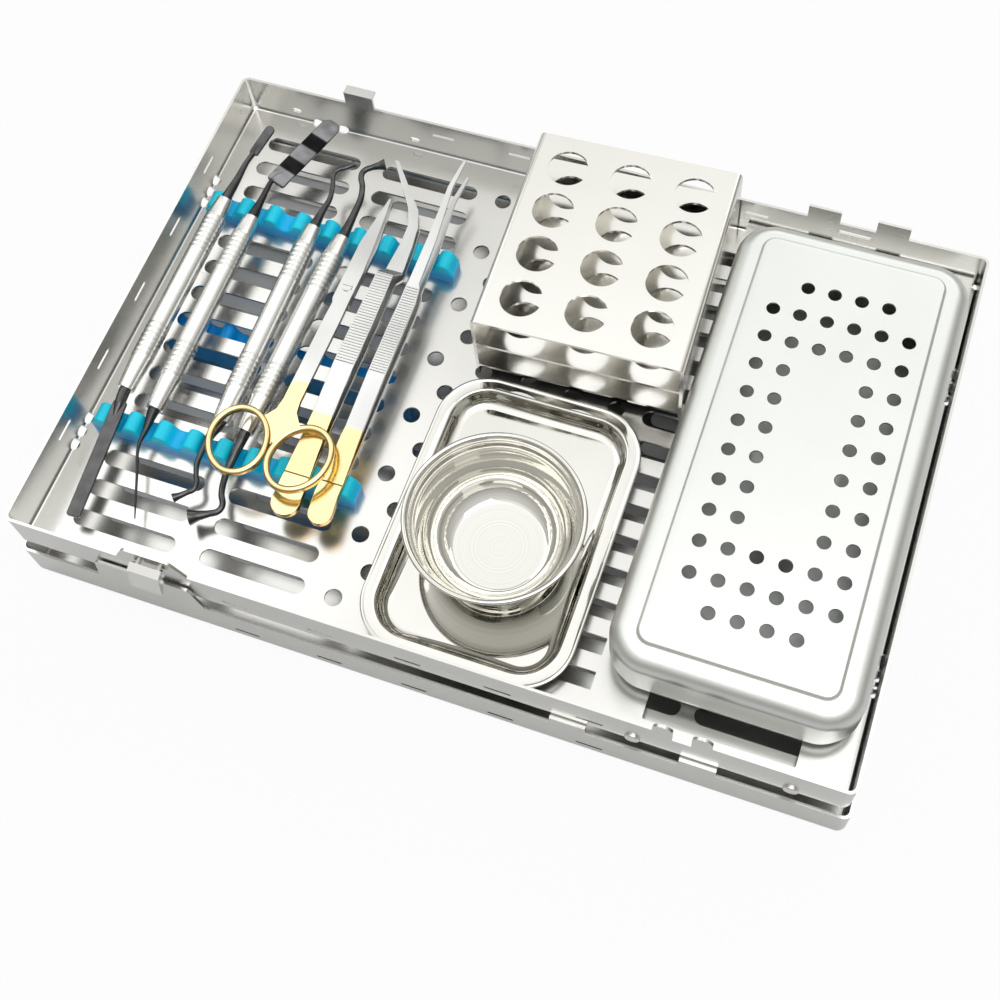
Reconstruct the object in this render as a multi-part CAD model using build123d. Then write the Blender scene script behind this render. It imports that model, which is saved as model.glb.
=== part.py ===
from build123d import *
import os
from math import atan2, degrees, hypot

# A dental instrument cassette: a perforated steel tray that stands on its own lid, loaded with a
# lidded membrane box, a tube rack, a mirror-finished dish with a mixing bowl, and hand instruments.
# Millimetres, +Z up.  The origin is the middle of the lid's underside, +Y is towards the rear wall.

# ---------------------------------------------------------------- sheet metal shells
SHEET = 1.0              # gauge of the pressed steel
TRAY_WIDTH = 300.8
TRAY_DEPTH = 206.0
TRAY_HEIGHT = 19.0       # underside to rim
LID_HEIGHT = 18.5
LID_CLEARANCE = 0.6      # the lid's walls pass outside the tray's walls with this gap
CORNER_RADIUS = 3.0      # outside of an upright corner
BEND_RADIUS = 2.0        # outside of the bend from floor to wall
REST_HEIGHT = 23.5       # underside of the tray above the underside of the lid
SOFT_GAP = 0.3           # air between rounded faces of pieces that only lie on each other

LID_WIDTH = TRAY_WIDTH + 2 * (SHEET + LID_CLEARANCE)
LID_DEPTH = TRAY_DEPTH + 2 * (SHEET + LID_CLEARANCE)
TRAY_FLOOR = REST_HEIGHT + SHEET
TRAY_RIM = REST_HEIGHT + TRAY_HEIGHT
TRAY_FRONT = -TRAY_DEPTH / 2
TRAY_BACK = TRAY_DEPTH / 2
TRAY_LEFT = -TRAY_WIDTH / 2
TRAY_RIGHT = TRAY_WIDTH / 2

# ---------------------------------------------------------------- perforation of both floors
SLOT_WIDTH = 6.4
SLOT_ROW_PITCH = 12.5
SLOT_ROWS = 15
SLOT_COLUMNS = (                  # middle, length
    (TRAY_LEFT + 34.6, 40.6), (TRAY_LEFT + 85.1, 40.4),
    (TRAY_RIGHT - 81.8, 44.0), (TRAY_RIGHT - 34.4, 41.2),
)
PATTERN_SHIFT = -0.7              # the pattern sits a little forward of the middle
HOLE_DIAMETER = 6.4
HOLE_COLUMN_PITCH = 17.2
LEFT_HOLE_COLUMN = TRAY_LEFT + 116.3
ODD_HOLE_COLUMN = TRAY_LEFT + 124.8
RIGHT_HOLE_COLUMN = TRAY_RIGHT - 113.7
MORE_HOLE_COLUMNS = int((RIGHT_HOLE_COLUMN - LEFT_HOLE_COLUMN) / HOLE_COLUMN_PITCH)

# ---------------------------------------------------------------- wall slots and drain holes
WALL_SLOT_LENGTH = 9.6
WALL_SLOT_HEIGHT = 1.5
WALL_SLOT_PITCH = 32.0
SIDE_SLOT_PITCH = 31.2
LOW_SLOT = 6.0                    # slot height above an underside, front walls
HIGH_SLOT = 12.0                  # the same, rear and side walls
FOLD_HOLE_RADIUS = 2.3
FOLD_HOLE_PITCH = 5.7
FOLD_GROUP = 57.0                 # middle of each group of three, from the middle of a side wall
CORNER_HOLE_RADIUS = 1.7

# ---------------------------------------------------------------- tabs of the tray
TAB_RISE = 6.5
TAB_WIDTH = 12.2
TAB_FLANGE = 3.0
TAB_PLACES = (TRAY_LEFT + 51.4, TRAY_RIGHT - 61.6, TRAY_RIGHT - 35.9)
EAR_RADIUS = 3.4
EAR_RISE = 6.0
EAR_PLACES = (TRAY_RIGHT - 62.1, TRAY_RIGHT - 49.1)
EAR_NOTCH = 4.5                   # how far the notch between the ears cuts below the rim
LATCH_TAB_FOOT = 27.0
LATCH_TAB_TOP = 17.5
LATCH_TAB_RISE = 8.5
LATCH_X = TRAY_LEFT + 58.0

# ---------------------------------------------------------------- tabs of the lid
LID_TAB_FOOT = 41.5
LID_TAB_TOP = 36.5
LID_TAB_RISE = 14.5
LID_TAB_X = LATCH_X - 6.2
LUG_WIDTH = 12.5
LUG_REACH = 6.0
FRONT_LUGS = (TRAY_RIGHT - 93.8, TRAY_RIGHT - 49.3)
REAR_LUGS = (TRAY_LEFT + 49.3, TRAY_RIGHT - 49.3)

# ---------------------------------------------------------------- silicone rails
RAIL_WIDTH = 8.0
RAIL_CREST = 9.5
RAIL_GROOVE = 4.5
RAIL_WAVES = 9
RAIL_START = TRAY_LEFT + 4.0      # where the wave of every rail begins
RAIL_CLEARANCE = 13.78            # from the end of the wave to the dish
RAIL_TRIM = 1.8                   # cut off both ends of the wave
RAIL_ROWS = (4, -4)               # slot rows, counted from the middle one, that hold the rails
RAIL_KEY_PLAY = 0.3               # the key under a rail is this much narrower than its slot
LID_RAIL_ROW = 0

# ---------------------------------------------------------------- latch
PIN_RADIUS = 0.75
PIN_PLAY = 0.05
PIN_OFFSET = 2.0                  # pin axis in front of the tray's front face
PIN_ABOVE_RIM = 1.5
LEVER_WIDTH = 11.8
LEVER_REACH = 2.6                 # from the pin forward to the hood's crease
LEVER_CREASE = 1.8                # height of the crease above the pin
LEVER_TOP = 2.9
LEVER_DROP = 7.1
LEVER_FLARE = 2.1                 # how far the foot stands out past the crease
BOSS_RADIUS = 1.7                 # of the lever's cheeks round the pin
EAR_BOSS_RADIUS = 1.2             # of the tray's ears round the pin
EAR_SHEET = 1.0
EAR_PLAY = 0.3                    # between an ear and the cheek outside it
SPRING_WIRE = 0.25
SPRING_LENGTH = 5.0

# ---------------------------------------------------------------- membrane box
BOX_WIDTH = 83.0
BOX_MARGIN = 4.3                  # from its lid to the outside of the tray's right wall
BOX_X = TRAY_RIGHT - BOX_MARGIN - BOX_WIDTH / 2
BOX_Y = -2.3
BOX_LENGTH = 175.5
BOX_CORNER = 13.5
BOX_SHEET = 0.8
BOX_FIT = 0.4                     # air between the lid's skirt and the box
BOX_HEIGHT = 21.0
BOX_TOP = 29.5                    # top of its lid above the platform
BOX_SKIRT = 20.5
BOX_SHOULDER = 6.0
PLATEAU_INSET_X = 8.8
PLATEAU_INSET_Y = 7.8
PLATEAU_CORNER = 5.0
PLATEAU_RISE = 1.6
BOX_HOLE_DIAMETER = 4.8
BOX_HOLE_PITCH_X = 9.48
BOX_HOLE_PITCH_Y = 11.47
BOX_HOLE_SHIFT = (1.4, -1.4)
STRAINER_HEIGHT = 6.0
INSERT_PLAY = 1.2
PRESS_PLAY = 4.0
BAR_LENGTH = 30.0
BAR_WIDTH = 6.0
BAR_RISE = 6.0
BAR_STOCK = 1.4                   # thickness of the top of the lifting bar
BAR_POST = 3.0

# ---------------------------------------------------------------- platform under the membrane box
PLATFORM_MARGIN = 3.4             # from its right edge to the outside of the tray's wall
PLATFORM_BORDER = 1.9             # it reaches this much farther left than the box
PLATFORM_RIGHT = TRAY_RIGHT - PLATFORM_MARGIN
PLATFORM_LEFT = BOX_X - BOX_WIDTH / 2 - PLATFORM_BORDER
PLATFORM_RISE = 6.5               # top above the tray floor
PLATFORM_PLAY = 0.1
FLANGE_CLEARANCE = 1.3            # the flanges stop above the bend of the tray
WINDOW_WIDTH = 50.9
WINDOW_SHIFT = 0.75               # right of the middle of the box
WINDOW_DEPTH = 13.0
WINDOW_MARGIN = 4.8
REAR_NOTCHES = TAB_PLACES[1:]
NOTCH_WIDTH = 9.0
NOTCH_DEPTH = 1.2
RIVET_RADIUS = 1.5
RIVET_HEAD_RADIUS = 2.6
RIVET_HEAD_HEIGHT = 1.1
RIVET_PLACES = (BOX_X - 26.0, BOX_X + 26.5)

# ---------------------------------------------------------------- tube rack
RACK_WIDTH = 77.6
RACK_DEPTH = 86.2
RACK_GAP = 2.4                    # to the platform
RACK_BACK_GAP = 3.0               # to the tray's rear wall
RACK_X = PLATFORM_LEFT - RACK_GAP - RACK_WIDTH / 2
RACK_Y = TRAY_BACK - SHEET - RACK_BACK_GAP - RACK_DEPTH / 2
RACK_TURN = 2.0
RACK_SHEET = 1.2
RACK_TOP = 36.0                   # top above the tray floor
RACK_LEVEL = 15.0
TUBE_HOLE = 15.4
TUBE_PITCH_X = 23.98
TUBE_PITCH_Y = 19.53

# ---------------------------------------------------------------- mirror dish and bowl
DISH_WIDTH = 76.4
DISH_DEPTH = 108.8
DISH_GAP = 8.7                    # to the platform
DISH_FRONT_GAP = 0.6              # to the tray's front wall
DISH_X = PLATFORM_LEFT - DISH_GAP - DISH_WIDTH / 2
DISH_Y = TRAY_FRONT + SHEET + DISH_FRONT_GAP + DISH_DEPTH / 2
DISH_HEIGHT = 7.0
DISH_FLANGE = 4.9
DISH_CORNER = 19.0
DISH_SHEET = 0.8
BOWL_X = DISH_X + 0.3
BOWL_Y = DISH_Y - 5.9
BOWL_RIM_RADIUS = 31.6
BOWL_BASE_RADIUS = 17.8
BOWL_HEIGHT = 27.3
BOWL_SHEET = 0.9
BOWL_LIP = 1.4
RAIL_PITCH = (DISH_X - DISH_WIDTH / 2 - RAIL_CLEARANCE - RAIL_START) / RAIL_WAVES

# ---------------------------------------------------------------- hand instruments
HANDLE_LENGTH = 87.0
HANDLE_RADIUS = 4.25
HANDLE_END_RADIUS = 3.0
RIB_PITCH = 2.1
RIB_DEPTH = 0.45
GRIPS = ((1, 9.0, 8), (-1, 14.3, 7))     # end, plain length outside the ribs, number of ribs
TANG_RADIUS = 1.4
TANG_LENGTH = 7.0
TANG_FIT = 0.02
ROOT_RADIUS = 2.4                 # a tip where it leaves the handle
COLLAR = 0.8                      # straight length of that root
HANDLE_Z = 9.8                    # middle of a handle above the tray floor
HANDLE_PITCH = 2.4                # the front end lies lower
SCRAPER_LIFT = 1.7                # its broad blade lies higher in the front rail
PLUGGER_LIFT = 0.4                # the same for the large plugger, whose neck is wider than its groove


def at_floor(height):
    """Height of something given above the tray floor."""
    return TRAY_FLOOR + height


def pan(width, depth, height, gauge=SHEET, corner=CORNER_RADIUS, bend=BEND_RADIUS):
    """An open pressed pan standing on z = 0."""
    outside = extrude(RectangleRounded(width, depth, corner), height)
    outside = fillet(outside.edges().group_by(Axis.Z)[0], bend)
    hollow = extrude(RectangleRounded(width - 2 * gauge, depth - 2 * gauge, corner - gauge), height)
    hollow = fillet(hollow.edges().group_by(Axis.Z)[0], bend - gauge)
    return outside - Pos(0, 0, gauge) * hollow


def row(number):
    """Y of a slot row counted from the middle row."""
    return PATTERN_SHIFT + SLOT_ROW_PITCH * number


def floor_pattern():
    """Slots and round holes of one floor, as a flat sketch."""
    half = SLOT_ROWS // 2
    shapes = []
    for number in range(-half, half + 1):
        for column, length in SLOT_COLUMNS:
            shapes.append(Pos(column, row(number)) * SlotOverall(length, SLOT_WIDTH))
        odd = (number + half) % 2
        even_columns = [RIGHT_HOLE_COLUMN - HOLE_COLUMN_PITCH * step for step in range(MORE_HOLE_COLUMNS)]
        columns = [ODD_HOLE_COLUMN] if odd else [LEFT_HOLE_COLUMN] + even_columns[::-1]
        for column in columns:
            shapes.append(Pos(column, row(number)) * Circle(HOLE_DIAMETER / 2))
    return Sketch() + shapes


def wall_slot(length=WALL_SLOT_LENGTH, height=WALL_SLOT_HEIGHT):
    """Cutter for a slot in a front or rear wall, centred on the origin."""
    return extrude(Plane.XZ * SlotOverall(length, height), 3 * SHEET, both=True)


def shell_cutters(width, depth, long_slot_height):
    """Everything that drains a shell: floor pattern, wall slots, fold holes and corner holes."""
    inside_x = width / 2 - SHEET
    inside_y = depth / 2 - SHEET
    cutters = [extrude(floor_pattern(), 2 * SHEET, both=True)]
    for step in range(-2, 3):
        cutters.append(Pos(WALL_SLOT_PITCH * step, -depth / 2, LOW_SLOT) * wall_slot())
        cutters.append(Pos(WALL_SLOT_PITCH * step, depth / 2, long_slot_height) * wall_slot())
        for side in (-1, 1):
            place = Pos(side * width / 2, SIDE_SLOT_PITCH * step, HIGH_SLOT) * Rot(0, 0, 90)
            cutters.append(place * wall_slot())
    for side in (-1, 1):
        for group in (-FOLD_GROUP, FOLD_GROUP):
            for step in (-1, 0, 1):
                place = Pos(side * inside_x, group + FOLD_HOLE_PITCH * step, SHEET)
                cutters.append(place * Sphere(FOLD_HOLE_RADIUS))
        for end in (-1, 1):
            cutters.append(Pos(side * inside_x, end * inside_y, SHEET) * Sphere(CORNER_HOLE_RADIUS))
    return cutters


def front_tab(foot, top, rise):
    """A flat tab with sloping flanks that stands on a rim, in the XZ plane, foot on z = 0."""
    return make_face(Polyline((-foot / 2, -1), (-foot / 2, 0), (-top / 2, rise), (top / 2, rise),
                              (foot / 2, 0), (foot / 2, -1), close=True))


def lid_shell():
    """The lid, lying with its rim up under the tray, with a latch tab and bent rest lugs."""
    shell = pan(LID_WIDTH, LID_DEPTH, LID_HEIGHT)
    shell -= shell_cutters(LID_WIDTH, LID_DEPTH, HIGH_SLOT)
    front = -LID_DEPTH / 2
    tab = extrude(Plane.XZ * front_tab(LID_TAB_FOOT, LID_TAB_TOP, LID_TAB_RISE), -SHEET)
    tab = fillet(tab.edges().filter_by(Axis.Y).group_by(Axis.Z)[-1], 2.0)
    shell += Pos(LID_TAB_X, front, LID_HEIGHT) * tab
    step = Box(LUG_WIDTH, LUG_REACH, SHEET, align=(Align.CENTER, Align.MIN, Align.MAX))
    lug_rise = REST_HEIGHT - LID_HEIGHT + SHEET
    post = Box(LUG_WIDTH, SHEET, lug_rise, align=(Align.CENTER, Align.MIN, Align.MAX))
    lug = post + step
    for place in FRONT_LUGS:
        shell += Pos(place, front, REST_HEIGHT) * lug
    for place in REAR_LUGS:
        shell += Pos(place, -front, REST_HEIGHT) * Rot(0, 0, 180) * lug
    return shell


def wave_rail(crest, groove, waves):
    """A scalloped silicone rail along +X from x = 0, its foot on z = 0, centred on y = 0."""
    length = RAIL_PITCH * waves
    middle, quarter = (crest + groove) / 2, RAIL_PITCH / 4
    arcs = []
    for step in range(waves):
        start = RAIL_PITCH * step - quarter
        for turn, top in enumerate((groove, crest)):
            left = start + 2 * quarter * turn
            arcs.append(ThreePointArc((left, middle), (left + quarter, top), (left + 2 * quarter, middle)))
    last = length - quarter
    arcs.append(ThreePointArc((last, middle), (length, groove), (length + quarter, middle)))
    base = Polyline((length + quarter, middle), (length + quarter, 0), (-quarter, 0), (-quarter, middle))
    outline = make_face(Curve() + arcs + base)
    kept = Pos(length / 2, crest) * Rectangle(length - 2 * RAIL_TRIM, 4 * crest)
    rail = extrude(Plane.XZ * (outline & kept), RAIL_WIDTH)
    return Pos(0, RAIL_WIDTH / 2, 0) * rail


def tray_rail(number):
    """One rail of the tray with the key that plugs into the slot row under it."""
    rail = wave_rail(RAIL_CREST, RAIL_GROOVE, RAIL_WAVES)
    play = 2 * RAIL_KEY_PLAY
    for column, length in SLOT_COLUMNS[:2]:
        key = extrude(SlotOverall(length - play, SLOT_WIDTH - play), -SHEET)
        rail += Pos(column - RAIL_START, 0, 0) * key
    return Pos(RAIL_START, row(number), TRAY_FLOOR) * rail


def lid_rail():
    """The tall rail in the lid that the tray stands over."""
    height = REST_HEIGHT - SHEET - 2 * SOFT_GAP
    rail = wave_rail(height, height - (RAIL_CREST - RAIL_GROOVE), RAIL_WAVES)
    return Pos(RAIL_START, row(LID_RAIL_ROW), SHEET) * rail


def tray_pan():
    """The instrument tray with its perforations, rear tabs, hinge ears and raised latch tab."""
    shell = pan(TRAY_WIDTH, TRAY_DEPTH, TRAY_HEIGHT)
    cutters = shell_cutters(TRAY_WIDTH, TRAY_DEPTH, HIGH_SLOT)
    inside_back = TRAY_BACK - SHEET
    for aside in (-30.2, 22.1):
        cutters.append(Pos(TAB_PLACES[0] + aside, TRAY_BACK, LOW_SLOT) * wall_slot(4.4, 2.6))
    for aside in (-21.3, -9.9):
        cutters.append(Pos(TAB_PLACES[0] + aside, inside_back, SHEET) * Sphere(FOLD_HOLE_RADIUS))
    cutters.append(Pos(EAR_PLACES[1], TRAY_BACK, HIGH_SLOT + 2.4) * wall_slot(13, 1.8))
    notch_middle = sum(EAR_PLACES) / 2
    notch_width = EAR_PLACES[1] - EAR_PLACES[0] - 2 * EAR_RADIUS
    notch = Box(notch_width, 3 * SHEET, 2 * EAR_NOTCH)
    cutters.append(Pos(notch_middle, TRAY_FRONT, TRAY_HEIGHT) * notch)
    rivet_hole = extrude(Plane.XZ * Circle(RIVET_RADIUS), 3 * SHEET, both=True)
    for place in RIVET_PLACES:
        for wall in (TRAY_FRONT, TRAY_BACK):
            cutters.append(Pos(place, wall, rivet_height() - REST_HEIGHT) * rivet_hole)
    shell -= cutters

    tab = Pos(0, 0, -1) * Box(TAB_WIDTH, SHEET, TAB_RISE + 1, align=(Align.CENTER, Align.MAX, Align.MIN))
    flange = Box(TAB_WIDTH, TAB_FLANGE + SHEET, SHEET, align=(Align.CENTER, Align.MAX, Align.MAX))
    for number, place in enumerate(TAB_PLACES):
        shell += Pos(place, TRAY_BACK, TRAY_HEIGHT) * tab
        if number == 0:
            shell += Pos(place, TRAY_BACK + TAB_FLANGE, TRAY_HEIGHT + TAB_RISE) * flange

    ear_foot = Rectangle(2 * EAR_RADIUS, EAR_RISE - EAR_RADIUS + 1, align=(Align.CENTER, Align.MAX))
    ear = extrude(Plane.XZ * (Circle(EAR_RADIUS) + ear_foot), -SHEET)
    for place in EAR_PLACES:
        shell += Pos(place, TRAY_FRONT, TRAY_HEIGHT + EAR_RISE - EAR_RADIUS) * ear

    latch_tab = extrude(Plane.XZ * front_tab(LATCH_TAB_FOOT, LATCH_TAB_TOP, LATCH_TAB_RISE), -SHEET)
    latch_tab = fillet(latch_tab.edges().filter_by(Axis.Y).group_by(Axis.Z)[-1], 2.5)
    shell += Pos(LATCH_X, TRAY_FRONT, TRAY_HEIGHT) * latch_tab
    shell += [Pos(0, 0, -REST_HEIGHT) * ear for ear in latch_ears()]
    return Pos(0, 0, REST_HEIGHT) * shell


def rivet_height():
    """Height of the rivets that hold the platform's flanges to the tray's walls."""
    return at_floor(PLATFORM_RISE / 2)


# ---------------------------------------------------------------- latch pieces
def pin_axis():
    """(y, z) of the latch pin."""
    return TRAY_FRONT - PIN_OFFSET, TRAY_RIM + PIN_ABOVE_RIM


def ear_gap():
    """Clear width between the two latch ears."""
    return LEVER_WIDTH - 2 * (SHEET + EAR_PLAY + EAR_SHEET)


def latch_ears():
    """Two ears bent forward from the latch tab, bored for the pin."""
    pin_y, pin_z = pin_axis()
    bar = Pos(PIN_OFFSET / 2, 0) * Rectangle(PIN_OFFSET, 2 * EAR_BOSS_RADIUS)
    outline = Circle(EAR_BOSS_RADIUS) + bar - Circle(PIN_RADIUS)
    ear = extrude(Plane.YZ * outline, EAR_SHEET / 2, both=True)
    away = (ear_gap() + EAR_SHEET) / 2
    return [Pos(LATCH_X + side * away, pin_y, pin_z) * ear for side in (-1, 1)]


def latch_pin():
    """Plain pin, peened flush with the lever's cheeks."""
    pin_y, pin_z = pin_axis()
    pin = extrude(Plane.YZ * Circle(PIN_RADIUS), LEVER_WIDTH / 2, both=True)
    return Pos(LATCH_X, pin_y, pin_z) * pin


def latch_lever():
    """Finger lever: a bent hood over the ears with two cheeks that turn on the pin."""
    pin_y, pin_z = pin_axis()
    foot = LEVER_REACH + LEVER_FLARE
    outer = [(0.4, LEVER_TOP), (-LEVER_REACH, LEVER_CREASE), (-foot, -LEVER_DROP)]
    inner = [(-foot + SHEET, -LEVER_DROP), (-LEVER_REACH + 0.85 * SHEET, LEVER_CREASE - 0.75 * SHEET),
             (0.4, LEVER_TOP - 1.07 * SHEET)]
    hood = make_face(Polyline(*outer, *inner, close=True))
    back = [(-foot + SHEET, -LEVER_DROP), (-0.4, -BOSS_RADIUS), (0.4, 0)]
    cheek = make_face(Polyline(*outer, *back, close=True)) + Circle(BOSS_RADIUS)
    half = LEVER_WIDTH / 2
    body = extrude(Plane.YZ * hood, half, both=True)
    for side in (-1, 1):
        body += Pos(side * (half - SHEET / 2), 0, 0) * extrude(Plane.YZ * cheek, SHEET / 2, both=True)
    body -= extrude(Plane.YZ * Circle(PIN_RADIUS + PIN_PLAY), half + 1, both=True)
    return Pos(LATCH_X, pin_y, pin_z) * body


def latch_spring():
    """Coil round the pin between the ears, as stacked rings of wire."""
    pin_y, pin_z = pin_axis()
    mean = PIN_RADIUS + PIN_PLAY + SPRING_WIRE
    pitch = 2 * SPRING_WIRE * 0.98
    turns = int(SPRING_LENGTH / pitch)
    ring = Rot(0, 90, 0) * Torus(mean, SPRING_WIRE)
    start = -pitch * (turns - 1) / 2
    coil = [Pos(LATCH_X + start + pitch * turn, pin_y, pin_z) * ring for turn in range(turns)]
    return Part() + coil


# ---------------------------------------------------------------- platform
def box_platform():
    """Raised shelf with a turned-down flange along each tray wall and two windows at each end."""
    width = PLATFORM_RIGHT - PLATFORM_LEFT
    middle = (PLATFORM_RIGHT + PLATFORM_LEFT) / 2
    depth = TRAY_DEPTH - 2 * (SHEET + PLATFORM_PLAY)
    drop = PLATFORM_RISE - FLANGE_CLEARANCE
    blank = Box(width, depth, drop, align=(Align.CENTER, Align.CENTER, Align.MAX))
    blank = fillet(blank.edges().filter_by(Axis.X).group_by(Axis.Z)[-1], 1.3)
    core = Box(width + 2, depth - 2 * SHEET, drop, align=(Align.CENTER, Align.CENTER, Align.MAX))
    shelf = Pos(middle, 0, at_floor(PLATFORM_RISE)) * (blank - Pos(0, 0, -SHEET) * core)
    window = Box(WINDOW_WIDTH, WINDOW_DEPTH, 4 * SHEET)
    window = fillet(window.edges().filter_by(Axis.Z), 0.8)
    window_y = -depth / 2 + WINDOW_MARGIN + WINDOW_DEPTH / 2
    shelf -= Pos(BOX_X + WINDOW_SHIFT, window_y, at_floor(PLATFORM_RISE)) * window
    for place in REAR_NOTCHES:
        notch = Box(NOTCH_WIDTH, 2 * (NOTCH_DEPTH + PLATFORM_PLAY), 4 * SHEET)
        shelf -= Pos(place, depth / 2, at_floor(PLATFORM_RISE)) * notch
    bore = extrude(Plane.XZ * Circle(RIVET_RADIUS), 4 * SHEET, both=True)
    for place in RIVET_PLACES:
        for wall in (TRAY_FRONT, TRAY_BACK):
            shelf -= Pos(place, wall, rivet_height()) * bore
    return shelf


def platform_rivets():
    """Four rivets through the tray's walls and the platform's flanges."""
    grip = 2 * SHEET + PLATFORM_PLAY
    shank = extrude(Plane.XZ * Circle(RIVET_RADIUS), -grip)
    head = Pos(0, 0, 0) * extrude(Plane.XZ * Circle(RIVET_HEAD_RADIUS), RIVET_HEAD_HEIGHT)
    head = fillet(head.edges().group_by(Axis.Y)[0], 0.8)
    tail = Pos(0, grip, 0) * extrude(Plane.XZ * Circle(RIVET_HEAD_RADIUS * 0.8), -0.6)
    rivet = shank + head + tail
    rivets = []
    for place in RIVET_PLACES:
        rivets.append(Pos(place, TRAY_FRONT, rivet_height()) * rivet)
        rivets.append(Pos(place, TRAY_BACK, rivet_height()) * Rot(0, 0, 180) * rivet)
    return Compound(children=rivets)


# ---------------------------------------------------------------- membrane box
def box_holes():
    """The ring-shaped field of holes of the box lid, as a flat sketch."""
    holes = []
    for line in range(12):
        for column in range(6):
            corner = line in (0, 11) and column in (0, 5)
            bare_middle = 2 < line < 9 and column in (2, 3)
            if corner or bare_middle:
                continue
            x = BOX_HOLE_SHIFT[0] + BOX_HOLE_PITCH_X * (column - 2.5)
            y = BOX_HOLE_SHIFT[1] + BOX_HOLE_PITCH_Y * (line - 5.5)
            holes.append(Pos(x, y) * Circle(BOX_HOLE_DIAMETER / 2))
    return Sketch() + holes


def box_place(height=0.0):
    """Where the box stands, at a height above the platform."""
    return Pos(BOX_X, BOX_Y, at_floor(PLATFORM_RISE) + height)


def box_inner_size():
    """Width and length inside the box body."""
    shrink = 2 * (BOX_SHEET + BOX_FIT) + 2 * BOX_SHEET
    return BOX_WIDTH - shrink, BOX_LENGTH - shrink, BOX_CORNER - shrink / 2


def box_body():
    """The box itself, a drawn pan with a rounded foot."""
    width, length, corner = box_inner_size()
    width, length, corner = width + 2 * BOX_SHEET, length + 2 * BOX_SHEET, corner + BOX_SHEET
    return box_place() * pan(width, length, BOX_HEIGHT, BOX_SHEET, corner, 4.0)


def box_strainer():
    """Perforated tray that holds the clots clear of the floor of the box."""
    width, length, corner = box_inner_size()
    width, length = width - 2 * INSERT_PLAY, length - 2 * INSERT_PLAY
    corner = corner - INSERT_PLAY
    legs = Rot(180, 0, 0) * pan(width, length, STRAINER_HEIGHT, BOX_SHEET, corner, 1.6)
    legs = Pos(0, 0, STRAINER_HEIGHT) * legs
    legs -= Pos(0, 0, STRAINER_HEIGHT) * extrude(box_holes(), 2 * BOX_SHEET, both=True)
    return box_place(BOX_SHEET + 2.2) * legs


def box_press_plate():
    """Plain plate that presses the clots flat, with a lifting bar."""
    width, length, corner = box_inner_size()
    play = 2 * PRESS_PLAY
    plate = extrude(RectangleRounded(width - play, length - play, corner - PRESS_PLAY), BOX_SHEET)
    on_plate = (Align.CENTER, Align.CENTER, Align.MIN)
    bar = Pos(0, 0, BOX_SHEET) * Box(BAR_LENGTH, BAR_WIDTH, BAR_RISE, align=on_plate)
    under = Box(BAR_LENGTH - 2 * BAR_POST, BAR_WIDTH + 2, BAR_RISE - BAR_STOCK, align=on_plate)
    bar -= Pos(0, 0, BOX_SHEET) * under
    return box_place(BOX_SHEET + 2.2 + STRAINER_HEIGHT) * (plate + bar)


def box_lid():
    """Drawn lid with a rounded shoulder, a raised field and drain holes."""
    outside = extrude(RectangleRounded(BOX_WIDTH, BOX_LENGTH, BOX_CORNER), BOX_SKIRT - PLATEAU_RISE)
    outside = fillet(outside.edges().group_by(Axis.Z)[-1], BOX_SHOULDER)
    field_width = BOX_WIDTH - 2 * PLATEAU_INSET_X
    field_length = BOX_LENGTH - 2 * PLATEAU_INSET_Y
    field = extrude(RectangleRounded(field_width, field_length, PLATEAU_CORNER), BOX_SKIRT)
    field = fillet(field.edges().group_by(Axis.Z)[-1], PLATEAU_RISE * 0.9)
    hollow = extrude(RectangleRounded(BOX_WIDTH - 2 * BOX_SHEET, BOX_LENGTH - 2 * BOX_SHEET,
                                      BOX_CORNER - BOX_SHEET), BOX_SKIRT - PLATEAU_RISE - BOX_SHEET)
    hollow = fillet(hollow.edges().group_by(Axis.Z)[-1], BOX_SHOULDER - BOX_SHEET)
    recess = extrude(RectangleRounded(field_width - 2 * BOX_SHEET, field_length - 2 * BOX_SHEET,
                                      PLATEAU_CORNER - BOX_SHEET), BOX_SKIRT - BOX_SHEET)
    lid = (outside + field) - (hollow + recess)
    lid -= Pos(0, 0, BOX_SKIRT) * extrude(box_holes(), 2 * BOX_SHEET, both=True)
    return box_place(BOX_TOP - BOX_SKIRT) * lid


# ---------------------------------------------------------------- tube rack
def rack_place(height):
    """Where a rack level lies, at a height above the tray floor."""
    return Pos(RACK_X, RACK_Y, at_floor(height)) * Rot(0, 0, RACK_TURN)


def tube_holes():
    """Cutter for the twelve tube holes."""
    grid = GridLocations(TUBE_PITCH_X, TUBE_PITCH_Y, 3, 4)
    return extrude(Sketch() + [place * Circle(TUBE_HOLE / 2) for place in grid], 3, both=True)


def rack_frame():
    """Top plate with both side walls, bent from one sheet."""
    blank = Box(RACK_WIDTH, RACK_DEPTH, RACK_TOP, align=(Align.CENTER, Align.CENTER, Align.MAX))
    blank = fillet(blank.edges().filter_by(Axis.Y).group_by(Axis.Z)[-1], 2.4)
    core = Box(RACK_WIDTH - 2 * RACK_SHEET, RACK_DEPTH + 2, RACK_TOP,
               align=(Align.CENTER, Align.CENTER, Align.MAX))
    core = fillet(core.edges().filter_by(Axis.Y).group_by(Axis.Z)[-1], 2.4 - RACK_SHEET)
    frame = blank - Pos(0, 0, -RACK_SHEET) * core - tube_holes()
    return rack_place(RACK_TOP) * frame


def rack_middle_plate():
    """Second level, bored like the top."""
    width = RACK_WIDTH - 2 * RACK_SHEET
    plate = Box(width, RACK_DEPTH, RACK_SHEET, align=(Align.CENTER, Align.CENTER, Align.MAX))
    return rack_place(RACK_TOP - RACK_LEVEL) * (plate - tube_holes())


def rack_base_plate():
    """Plain level that the tubes stand on."""
    width = RACK_WIDTH - 2 * RACK_SHEET
    plate = Box(width, RACK_DEPTH, RACK_SHEET, align=(Align.CENTER, Align.CENTER, Align.MAX))
    return rack_place(RACK_TOP - 2 * RACK_LEVEL) * plate


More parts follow.
